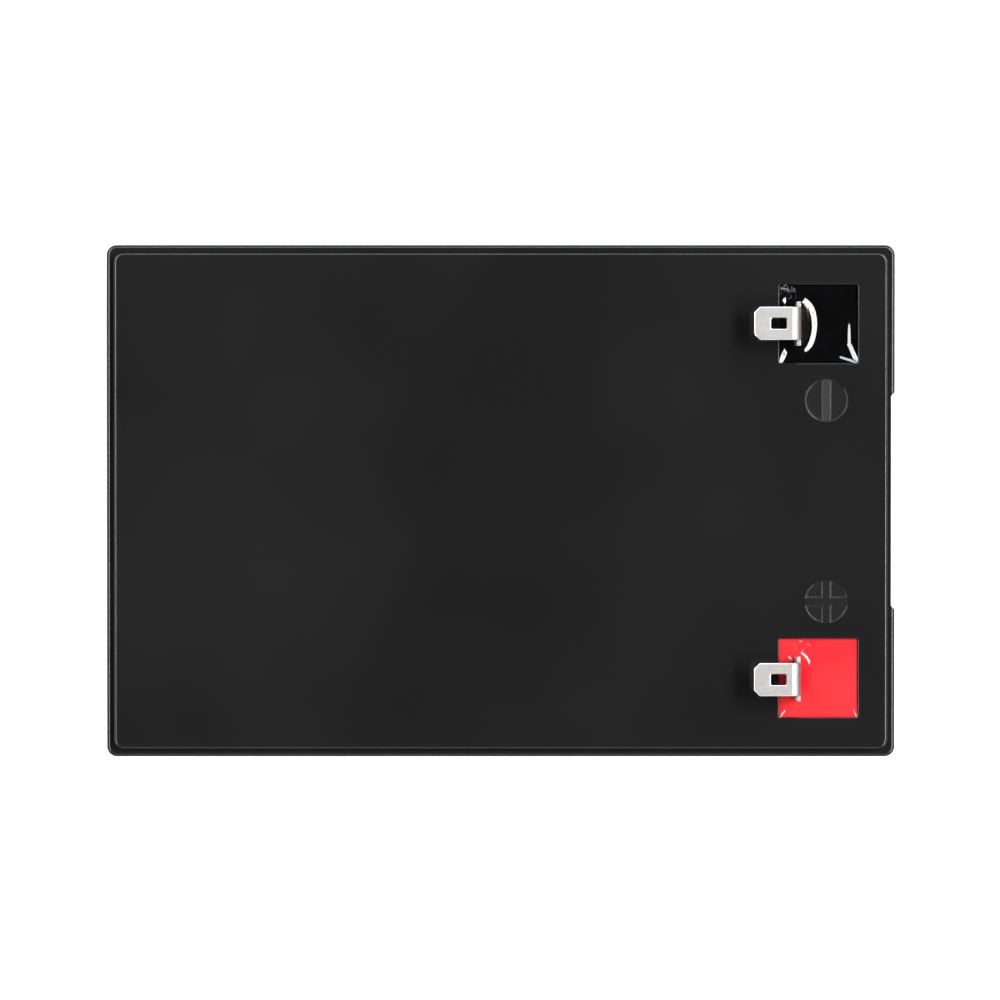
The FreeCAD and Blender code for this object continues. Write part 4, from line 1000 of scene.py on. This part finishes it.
    def _at_hole(self, edge: Edge) -> bool:
        """Whether an edge belongs to the hole."""
        middle = (edge.verts[0].co + edge.verts[1].co) / 2
        return math.hypot(middle.x - self.hole_from_nose, middle.y) < self.hole_reach

    def _bent(self, flat: Vector) -> Vector:
        """Finds where a point of the flat blank goes when the blade is bent.

        Args:
            flat: the point along, across and up through the blank.

        Returns:
            The point in the battery.
        """
        along, across, up = flat
        radius = self.inner_bend + up
        turned = min(max((along - self.bend_start) / self.middle_radius, 0.0), math.pi / 2)
        before = min(along - self.bend_start, 0.0)
        after = max(along - self.bend_end, 0.0)
        x = self.high.x - self.bend_drop + before + radius * math.sin(turned)
        z = self.high.z - self.bend_drop - after + radius * math.cos(turned)
        return Vector((x, self.centre_y + across, z))


@dataclass(frozen=True)
class Creep:
    """How resin has drawn up one wall of its well.

    It stands up by the height, most steeply at a distance from the wall, over a width to either
    side. Along the wall it rises from nothing at one place to all of it at another. From the place
    where it turns, its steepest line runs to the wall, which it meets in the corner.
    """

    height: float
    steepest: float
    width: float
    starts: float
    full: float
    turns: float
    meets: float

    def lift(self, distance: Grid, run: Grid) -> Grid:
        """What the creep adds to the height.

        Args:
            distance: distances from the wall.
            run: distances along it, from its middle.

        Returns:
            The lift.
        """
        left = 1 - np.clip((run - self.turns) / (self.meets - self.turns), 0, 1)
        share = ease(self.starts, self.full, run)
        slope = ease(self.width, -self.width, distance - self.steepest * left)
        return self.height * (share * slope)


@dataclass(frozen=True)
class Mound:
    """A place where resin stands up: an oval with a soft rim, drawn out at its back.

    Across the case it fades from nothing at one place to all of it at another.
    """

    NEAREST = 1e-3
    WIDEST = 2.0

    along: float
    across: float
    half_along: float
    half_across: float
    height: float
    rim: float
    back: float = 3.0
    drawn: float = 2.0
    softer: float = 0.0
    starts: float = -0.02
    full: float = -0.01

    def lift(self, u: Grid, v: Grid) -> Grid:
        """What the mound adds to the height.

        Args:
            u: distances along from the well's middle.
            v: distances across from it.

        Returns:
            The lift.
        """
        half_along = self.half_along * np.where(u < self.along, self.back, 1.0)
        a, b = (u - self.along) / half_along, (v - self.across) / self.half_across
        oval = np.maximum(np.hypot(a, b), self.NEAREST)
        steepness = np.hypot(a / half_along, b / self.half_across) / oval
        distance = (oval - 1) / steepness
        drawn = np.where(u < self.along, self.drawn * (a / oval) ** 2, 0.0)
        rim = self.rim * (1 + drawn + self.softer * np.clip(b * b, 0, self.WIDEST))
        return self.height * ease(self.starts, self.full, v) * ease(1, -1, distance / rim)


def ease(start: float, end: float, value: Grid) -> Grid:
    """Goes from 0 at the start to 1 at the end, level at both."""
    share = np.clip((value - start) / (end - start), 0, 1)
    return share * share * (3 - 2 * share)


@dataclass
class Pour:
    """Resin poured into a well round its terminal, with the skin that it set with."""

    # Vertex attribute: the crinkled skin, and on the red resin the painted shade round the plate
    # and along the walls.
    WRINKLES = "wrinkles"
    FROTH = "froth"

    pole: Pole
    slot: str
    walls: dict[str, Creep]
    mounds: tuple[Mound, ...]
    froth_centre: tuple[float, float]
    seed: int
    froth_reach: float = 2.0 * MM
    bubbles_per_mm2: float = 10.0
    smallest_bubble: float = 0.05 * MM
    largest_bubble: float = 0.16 * MM
    collar: float = 0.0
    collar_reach: float = 0.5 * MM
    wrinkle_depth: float = 0.0
    # The zone's oval: crinkles in front of the plate, and on the red resin painted shade all round
    # it.
    wrinkle_half: float = 4.6 * MM
    wrinkle_reach: float = 1.9 * MM
    wrinkle_back: float = 0.0
    wrinkle_edge: float = 1.05
    wrinkle_fade: float = 0.25
    wrinkle_waves: tuple[int, float, float] = (24, 0.3 * MM, 0.7 * MM)
    ripple: float = 0.008 * MM
    ripple_waves: tuple[int, float, float] = (7, 2.0 * MM, 5.0 * MM)
    # Painted shade along the walls, put into the same zone.
    wall_shade: float = 0.0
    drop: float = 1.0 * MM
    corner: float = 0.4 * MM
    plate_thick: float = 0.8 * MM
    lines_along: tuple[int, ...] = (40, 6, 96)
    lines_across: tuple[int, ...] = (40, 80, 40)

    def __post_init__(self) -> None:
        """Reads the well and the plate that stands in it from the frame."""
        self.low, self.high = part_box(f"{self.pole.word}_seal")
        plate_low, plate_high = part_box(f"{self.pole.word}_terminal")
        self.centre = (self.low + self.high) / 2
        self.half = (self.high.x - self.low.x) / 2
        self.plate_front = plate_high.x - self.centre.x
        self.plate_back = self.plate_front - self.plate_thick
        self.plate_half = (plate_high.y - plate_low.y) / 2
        self.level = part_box("lid")[1].z - self.drop

    def build(self) -> Piece:
        """Models the resin and makes it part of the battery.

        Returns:
            The finished piece.
        """
        shape = self._skin()
        self._close(shape)
        piece = new_piece(f"{self.pole.word}_potting", shape, sharp_above=60.0)
        self._mark_zones(piece.data)
        piece.data.materials.append(FINISHES[self.slot])
        values = {
            "Density": self.bubbles_per_mm2 / MM**2,
            "Zone": self.FROTH,
            "Smallest": self.smallest_bubble,
            "Largest": self.largest_bubble,
            "Seed": self.seed,
            "Material": FINISHES[self.slot],
        }
        run_tree(piece, bubble_tree(), values)
        return keep(piece, self.slot, f"{self.pole.word}_seal")

    @staticmethod
    def _lines(ends: tuple[float, ...], counts: tuple[int, ...]) -> Grid:
        """Joins stretches of grid lines, each crowded towards both its ends.

        Args:
            ends: where the stretches start and end.
            counts: how many lines each has.

        Returns:
            The places of the lines.
        """
        lines = [np.array([ends[0]])]
        for start, end, count in zip(ends, ends[1:], counts):
            share = (1 - np.cos(np.pi * np.arange(1, count + 1) / count)) / 2
            lines.append(start + (end - start) * share)
        return np.concatenate(lines)

    def _skin(self) -> Shape:
        """Models the resin's skin as a grid with a slot for the plate.

        Returns:
            The shape.
        """
        along = self._lines(
            (-self.half, self.plate_back, self.plate_front, self.half), self.lines_along
        )
        across = self._lines(
            (-self.half, -self.plate_half, self.plate_half, self.half), self.lines_across
        )
        shape = bmesh.new()
        u, v = np.meshgrid(along, across, indexing="ij")
        height = self.height(u, v)
        u, v = self._round_corners(u, v)
        rows = zip(self.centre.x + u, self.centre.y + v, height)
        verts = [[shape.verts.new(spot) for spot in zip(*row)] for row in rows]
        middle_u = (along[:-1] + along[1:]) / 2
        middle_v = (across[:-1] + across[1:]) / 2
        in_slot = np.outer(
            (self.plate_back < middle_u) & (middle_u < self.plate_front),
            np.abs(middle_v) < self.plate_half,
        )
        for i, j in np.argwhere(~in_slot):
            here, after = verts[i], verts[i + 1]
            shape.faces.new((here[j], after[j], after[j + 1], here[j + 1]))
        loose = [vert for vert in shape.verts if not vert.link_faces]
        bmesh.ops.delete(shape, geom=loose, context="VERTS")
        shape.edges.index_update()
        return shape

    def _round_corners(self, u: Grid, v: Grid) -> tuple[Grid, Grid]:
        """Draws the grid's corners in to the well's round ones.

        Args:
            u: distances along from the well's middle.
            v: distances across from it.

        Returns:
            The new distances.
        """
        start = self.half - self.corner
        a = np.clip((np.abs(u) - start) / self.corner, 0, 1)
        b = np.clip((np.abs(v) - start) / self.corner, 0, 1)
        corner = (a > 0) & (b > 0)
        round_u = np.sign(u) * (start + self.corner * a * np.sqrt(1 - b * b / 2))
        round_v = np.sign(v) * (start + self.corner * b * np.sqrt(1 - a * a / 2))
        return np.where(corner, round_u, u), np.where(corner, round_v, v)

    def _close(self, shape: Shape) -> None:
        """Drops the skin's rims to the well's floor and closes the underside.

        Args:
            shape: the skin.
        """
        floor = []
        for rim in open_rims(shape):
            foot = [shape.verts.new((vert.co.x, vert.co.y, self.low.z)) for vert in rim]
            for here, after in zip(range(len(rim)), [*range(1, len(rim)), 0]):
                shape.faces.new((rim[here], rim[after], foot[after], foot[here]))
            floor.append(foot)
        fill_flat(shape, floor)
        bmesh.ops.recalc_face_normals(shape, faces=shape.faces)

    def height(self, u: Grid, v: Grid) -> Grid:
        """Works out the height of the skin.

        Args:
            u: distances along from the well's middle.
            v: distances across from it.

        Returns:
            The heights in the battery's frame.
        """
        lift = self._wall_lift(u, v)
        lift += self.collar * np.exp(-self._from_plate(u, v) / self.collar_reach)
        for mound in self.mounds:
            lift += mound.lift(u, v)
        waves = self._waves(u, v, *self.wrinkle_waves)
        lift += self.wrinkle_depth * self._wrinkled(u, v) * waves
        return self.level + lift + self._ripples(u, v)

    def _wall_lift(self, u: Grid, v: Grid) -> Grid:
        """What the creep up the four walls adds; in a corner the higher one counts.

        Args:
            u: distances along from the well's middle.
            v: distances across from it.

        Returns:
            The lift.
        """
        walls = {"left": (u + self.half, v), "right": (self.half - u, v)}
        walls |= {"lower": (v + self.half, u), "upper": (self.half - v, u)}
        lift = np.zeros_like(u)
        for side, creep in self.walls.items():
            lift = np.maximum(lift, creep.lift(*walls[side]))
        return lift

    def _wrinkled(self, u: Grid, v: Grid) -> Grid:
        """How far a place lies in the zone: in front of the plate, or all round it, within an oval.
        It sets the crinkles, and on the red resin the painted shade.

        Args:
            u: distances along from the well's middle.
            v: distances across from it.

        Returns:
            The share, from 0 to 1.
        """
        ahead = np.clip(u - self.plate_front, 0, None) / self.wrinkle_reach
        front = u > self.plate_front - self.plate_thick / 2
        if self.wrinkle_back > 0:
            ahead = ahead + np.clip(self.plate_back - u, 0, None) / self.wrinkle_back
            front = 1.0
        oval = np.hypot(ahead, v / self.wrinkle_half)
        return ease(self.wrinkle_edge, self.wrinkle_edge - self.wrinkle_fade, oval) * front

    def _from_plate(self, u: Grid, v: Grid) -> Grid:
        """Distances from the plate's outline."""
        away_u = np.maximum(np.maximum(u - self.plate_front, self.plate_back - u), 0)
        return np.hypot(away_u, np.maximum(np.abs(v) - self.plate_half, 0))

    def _waves(self, u: Grid, v: Grid, count: int, shortest: float, longest: float) -> Grid:
        """Adds up waves in all directions, fixed by the seed.

        Args:
            u: distances along from the well's middle.
            v: distances across from it.
            count: how many waves there are.
            shortest: the shortest wave.
            longest: the longest wave.

        Returns:
            The sum, roughly between -1 and 1.
        """
        draws = np.random.default_rng(self.seed)
        total = np.zeros_like(u)
        for _ in range(count):
            length = draws.uniform(shortest, longest)
            angle, phase = draws.uniform(0, math.tau, 2)
            run = u * math.cos(angle) + v * math.sin(angle)
            total += np.sin(math.tau * run / length + phase)
        return total / math.sqrt(count)

    def _ripples(self, u: Grid, v: Grid) -> Grid:
        """Slow ripples that die out at the walls."""
        edge = np.minimum(self.half - np.abs(u), self.half - np.abs(v)) / MM
        return self.ripple * self._waves(u, v, *self.ripple_waves) * np.clip(edge, 0, 1)

    def _mark_zones(self, mesh: bpy.types.Mesh) -> None:
        """Stores the zone of crinkles and painted shade, and where the skin is frothy, for its
        finish and bubbles.

        Args:
            mesh: the resin's mesh.
        """
        places = np.zeros(len(mesh.vertices) * 3, np.float32)
        mesh.vertices.foreach_get("co", places)
        places = places.reshape(-1, 3)
        u, v = places[:, 0] - self.centre.x, places[:, 1] - self.centre.y
        skin = places[:, 2] > self.low.z + self.drop
        wrinkles = self._wrinkled(u, v)
        # Painted shade: the resin's colour darkens towards the walls.
        if self.wall_shade > 0:
            from_wall = self.half - np.maximum(np.abs(u), np.abs(v))
            wrinkles = np.maximum(wrinkles, ease(self.wall_shade, 0.0, from_wall))
        froth_u, froth_v = self.froth_centre
        froth = np.clip(1 - np.hypot(u - froth_u, v - froth_v) / self.froth_reach, 0, 1)
        for name, zone in ((self.WRINKLES, wrinkles), (self.FROTH, froth)):
            attribute = mesh.attributes.new(name, "FLOAT", "POINT")
            attribute.data.foreach_set("value", (zone * skin).astype(np.float32))


def bubble_tree() -> Tree:
    """Finds the tree that sets flat domes on a skin, as dense as a zone's attribute says.

    Returns:
        The tree, built on its first use.
    """
    name, flatness = "bubbles", 0.45
    if name in bpy.data.node_groups:
        return bpy.data.node_groups[name]
    wiring, entry = new_geometry_tree(
        name, Float=("Density", "Smallest", "Largest"), String=("Zone",), Int=("Seed",)
    )
    skin, seed = entry["Geometry"], entry["Seed"]
    zone = wiring.add("GeometryNodeInputNamedAttribute", {"Name": entry["Zone"]}).outputs[0]
    density = wiring.times(zone, entry["Density"])
    scatter = {"Mesh": skin, "Density": density, "Seed": seed}
    points = wiring.add("GeometryNodeDistributePointsOnFaces", scatter).outputs
    dome = wiring.add("GeometryNodeMeshIcoSphere", {"Radius": 1.0, "Subdivisions": 1})
    flat = {"Geometry": dome.outputs["Mesh"], "Scale": (1.0, 1.0, flatness)}
    lens = wiring.add("GeometryNodeTransform", flat).outputs[0]
    sizes = {2: entry["Smallest"], 3: entry["Largest"], "Seed": seed}
    size = wiring.add("FunctionNodeRandomValue", sizes).outputs[1]
    spots = {"Points": points["Points"], "Rotation": points["Rotation"]}
    spots |= {"Instance": lens, "Scale": size}
    domes = wiring.add("GeometryNodeInstanceOnPoints", spots).outputs["Instances"]
    both = wiring.add("GeometryNodeJoinGeometry", {0: domes})
    wiring.tree.links.new(skin, both.inputs[0])
    return close_geometry_tree(wiring, both.outputs[0], entry["Material"])


@dataclass
class InnerPack:
    """What the case holds: it keeps its solids' meshes and gets its finishes."""

    shown_by_others: tuple[str, ...]

    def dress(self) -> None:
        """Gives every solid that no other piece stands for the finish of its slot."""
        slots = {part["node"]: part["material_slot"] for part in frame["record"]["subparts"]}
        dressed = [name for name in frame["nodes"] if name not in self.shown_by_others]
        for name in dressed:
            for material_slot in frame["nodes"][name].material_slots:
                material_slot.material = FINISHES[slots[name]]
        log.info("inner pack: %d solids dressed", len(dressed))


class Serves(Enum):
    """What a light serves: all, only what mirrors it, or only what it falls on."""

    ALL = "all"
    SHINE = "shine"
    SHADE = "shade"


@dataclass(frozen=True)
class Strip:
    """A strip light bent round the battery: an arc of panels that all face the lid.

    Angles are in degrees: azimuths from +X, and the strip's height as the battery sees it.
    """

    name: str
    azimuth: float
    elevation: float
    arc: float
    height: float
    radiance: float
    serves: Serves = Serves.ALL
    tint: tuple[float, float, float] = (1.0, 1.0, 1.0)
    distance: float = 2.0
    panel_arc: float = 12.0

    def build(self, target: Vector) -> None:
        """Sets the panels up.

        Args:
            target: the point that they face.
        """
        count = max(1, round(self.arc / self.panel_arc))
        step = self.arc / count
        for panel in range(count):
            azimuth = math.radians(self.azimuth + (panel - (count - 1) / 2) * step)
            self._panel(f"{self.name}_{panel + 1}", azimuth, math.radians(step), target)

    def _panel(self, name: str, azimuth: float, step: float, target: Vector) -> None:
        """Hangs one panel.

        Args:
            name: its name.
            azimuth: its direction from the target, in radians from +X.
            step: the arc that it covers, in radians.
            target: the point that it faces.
        """
        elevation = math.radians(self.elevation)
        level, rise = math.cos(elevation), math.sin(elevation)
        towards = Vector((level * math.cos(azimuth), level * math.sin(azimuth), rise))
        across = Vector((-math.sin(azimuth), math.cos(azimuth), 0.0))
        lamp = bpy.data.lights.new(name, "AREA")
        lamp.shape = "RECTANGLE"
        lamp.size = 2 * self.distance * level * math.tan(step / 2)
        lamp.size_y = 2 * self.distance * math.tan(math.radians(self.height) / 2)
        lamp.energy = self.radiance * math.pi * lamp.size * lamp.size_y
        lamp.color = self.tint
        light = bpy.data.objects.new(name, lamp)
        turned = Matrix((across, towards.cross(across), towards)).transposed().to_4x4()
        light.matrix_world = Matrix.Translation(target + towards * self.distance) @ turned
        light.visible_diffuse = self.serves is not Serves.SHINE
        light.visible_glossy = self.serves is not Serves.SHADE
        bpy.context.scene.collection.objects.link(light)


@dataclass
class Studio:
    """A white table, soft lights and the camera straight above."""

    COOL = (0.88, 0.93, 1.0)
    # Name, azimuth, elevation, arc, height, radiance, what it serves, tint.
    STRIPS = (
        Strip("key", 4.0, 53.0, 100.0, 10.0, 22.0),
        Strip("far", 176.0, 55.0, 84.0, 10.0, 18.0, Serves.SHINE),
        Strip("cool", 92.0, 43.0, 130.0, 8.0, 15.0, Serves.SHINE, COOL),
        Strip("near", 270.0, 43.0, 60.0, 8.0, 5.0, Serves.SHINE),
        Strip("softbox", 30.0, 46.0, 52.0, 20.0, 11.5, Serves.SHADE),
        Strip("fill", 180.0, 60.0, 60.0, 20.0, 5.0, Serves.SHADE),
    )

    floor_size: float = 12.0
    floor_tone: float = 0.3
    floor_glow: float = 1.0
    floor_roughness: float = 0.9
    horizon: float = 1.1
    zenith: float = 0.04
    sky_range: tuple[float, float] = (0.22, 0.7)
    side_share: float = 0.3
    side_range: tuple[float, float] = (0.3, 0.8)
    ground_share: float = 0.4
    ground_range: tuple[float, float] = (-0.05, 0.0)
    camera_rise: float = 1.05
    camera_lean: float = 1.0
    lens: float = 197.3
    flange_drop: float = 1.5 * MM
    aim: tuple[float, float] = (-0.14 * MM, 0.18 * MM)

    def build(self) -> None:
        """Sets up the table, the sky, the lights and the camera."""
        self.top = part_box("lid")[1].z
        self._table()
        self._sky()
        for strip in self.STRIPS:
            strip.build(Vector((0.0, 0.0, self.top)))
        self._camera()
        bpy.context.scene.view_settings.view_transform = "Standard"
        log.info("studio: table, sky, %d strip lights and camera", len(self.STRIPS))

    def _table(self) -> None:
        """Sets up the white table, which glows a little so that no shadow shows on it."""
        shape = bmesh.new()
        bmesh.ops.create_grid(shape, x_segments=1, y_segments=1, size=self.floor_size / 2)
        table = new_piece("table", shape)
        material = bpy.data.materials.new("white_table")
        material.use_nodes = True
        inputs = material.node_tree.nodes["Principled BSDF"].inputs
        inputs["Base Color"].default_value = (*[self.floor_tone] * 3, 1.0)
        inputs["Roughness"].default_value = self.floor_roughness
        inputs["Emission Color"].default_value = WHITE
        inputs["Emission Strength"].default_value = self.floor_glow
        table.data.materials.append(material)
        table.visible_glossy = False

    def _sky(self) -> None:
        """Makes a room that is white at the case's ends, dim at its sides and dark overhead."""
        world = bpy.data.worlds.new("room")
        world.use_nodes = True
        world.node_tree.nodes.clear()
        wiring = Wiring(world.node_tree)
        ray = wiring.add("ShaderNodeTexCoord").outputs["Generated"]
        parts = wiring.add("ShaderNodeSeparateXYZ", {"Vector": ray}).outputs
        overhead = wiring.spread(parts["Z"], *self.sky_range, self.horizon, self.zenith)
        ground = wiring.spread(parts["Z"], *self.ground_range, self.ground_share)
        towards_end = wiring.maths("ABSOLUTE", parts["X"])
        share = wiring.spread(towards_end, *self.side_range, self.side_share)
        light = wiring.times(overhead, wiring.times(ground, share))
        background = wiring.add("ShaderNodeBackground", {"Strength": light, "Color": WHITE})
        wiring.add("ShaderNodeOutputWorld", {"Surface": background.outputs[0]})
        bpy.context.scene.world = world

    def _camera(self) -> None:
        """Hangs the camera above the lid, with the negative terminal at the top right."""
        lens = bpy.data.cameras.new("camera")
        lens.lens = self.lens
        camera = bpy.data.objects.new("camera", lens)
        lean = math.radians(self.camera_lean)
        back, rise = self.camera_rise * math.sin(lean), self.camera_rise * math.cos(lean)
        camera.location = (self.aim[0], self.aim[1] + back, self.top - self.flange_drop + rise)
        camera.rotation_euler = (-lean, 0.0, 0.0)
        bpy.context.scene.collection.objects.link(camera)
        bpy.context.scene.camera = camera


def pours() -> tuple[Pour, Pour]:
    """Describes the two pours, each with the skin that the photograph shows.

    Returns:
        The negative pour and the positive one.
    """
    black_mound = mm(
        along=-3.6, across=-0.3, half_along=2.86, half_across=5.3, height=0.43, rim=1.0
    )
    red_mound = mm(
        along=-4.55, across=2.28, half_along=2.9, half_across=2.9, height=0.195, rim=0.46,
        starts=1.2, full=3.4,
    )
    red_bead = mm(
        along=-5.9, across=2.8, half_along=0.75, half_across=1.4, height=0.18, rim=0.4
    )
    black_walls = {
        "left": Creep(**mm(
            height=0.303, steepest=1.05, width=0.84, starts=6.4, full=3.8, turns=-5.3, meets=-8.2,
        )),
        "right": Creep(**mm(
            height=0.5, steepest=1.65, width=1.08, starts=14.5, full=-3.5, turns=-3.8, meets=-7.6,
        )),
        "lower": Creep(**mm(
            height=0.415, steepest=1.2, width=0.8, starts=0.6, full=4.4, turns=4.0, meets=7.8,
        )),
    }
    red_walls = {
        "left": Creep(**mm(
            height=0.094, steepest=1.15, width=0.28, starts=-4.8, full=-5.9, turns=-6.2, meets=-7.8,
        )),
        "right": Creep(**mm(
            height=0.093, steepest=0.8, width=0.22, starts=-4.6, full=-5.7, turns=-5.9, meets=-7.8,
        )),
    }
    black = Pour(
        Pole.NEGATIVE,
        "resin_black",
        black_walls,
        mounds=(Mound(**black_mound, drawn=12.0, softer=0.2),),
        froth_centre=(-6.4 * MM, 6.4 * MM),
        bubbles_per_mm2=14.0,
        seed=5,
        **mm(wrinkle_depth=0.01, froth_reach=2.6, largest_bubble=0.15),
    )
    red = Pour(
        Pole.POSITIVE,
        "resin_red",
        red_walls,
        mounds=(Mound(**red_mound), Mound(**red_bead)),
        froth_centre=(-3.4 * MM, 6.2 * MM),
        bubbles_per_mm2=3.0,
        seed=9,
        # The red resin's zone is painted shade: all round the plate, under the tab, and along its
        # walls.
        wrinkle_fade=0.8,
        **mm(collar=0.1, collar_reach=0.3, wrinkle_depth=0.002, wrinkle_half=4.4),
        **mm(wrinkle_reach=3.2, wrinkle_back=5.0, wall_shade=0.45, drop=0.42),
    )
    return black, red


def main() -> None:
    """Builds the battery and its studio."""
    logging.basicConfig(level=logging.INFO, format="%(name)s: %(message)s")
    Case("container", "moulded_case").build()
    Lid("lid", "moulded_lid").build()
    for pole in Pole:
        Blade(pole).build()
    for pour in pours():
        pour.build()
    shells = ("container", "lid")
    potted = tuple(f"{pole.word}_{part}" for pole in Pole for part in ("terminal", "seal"))
    InnerPack(shells + potted).dress()
    Studio().build()


if __name__ == "__main__":
    main()
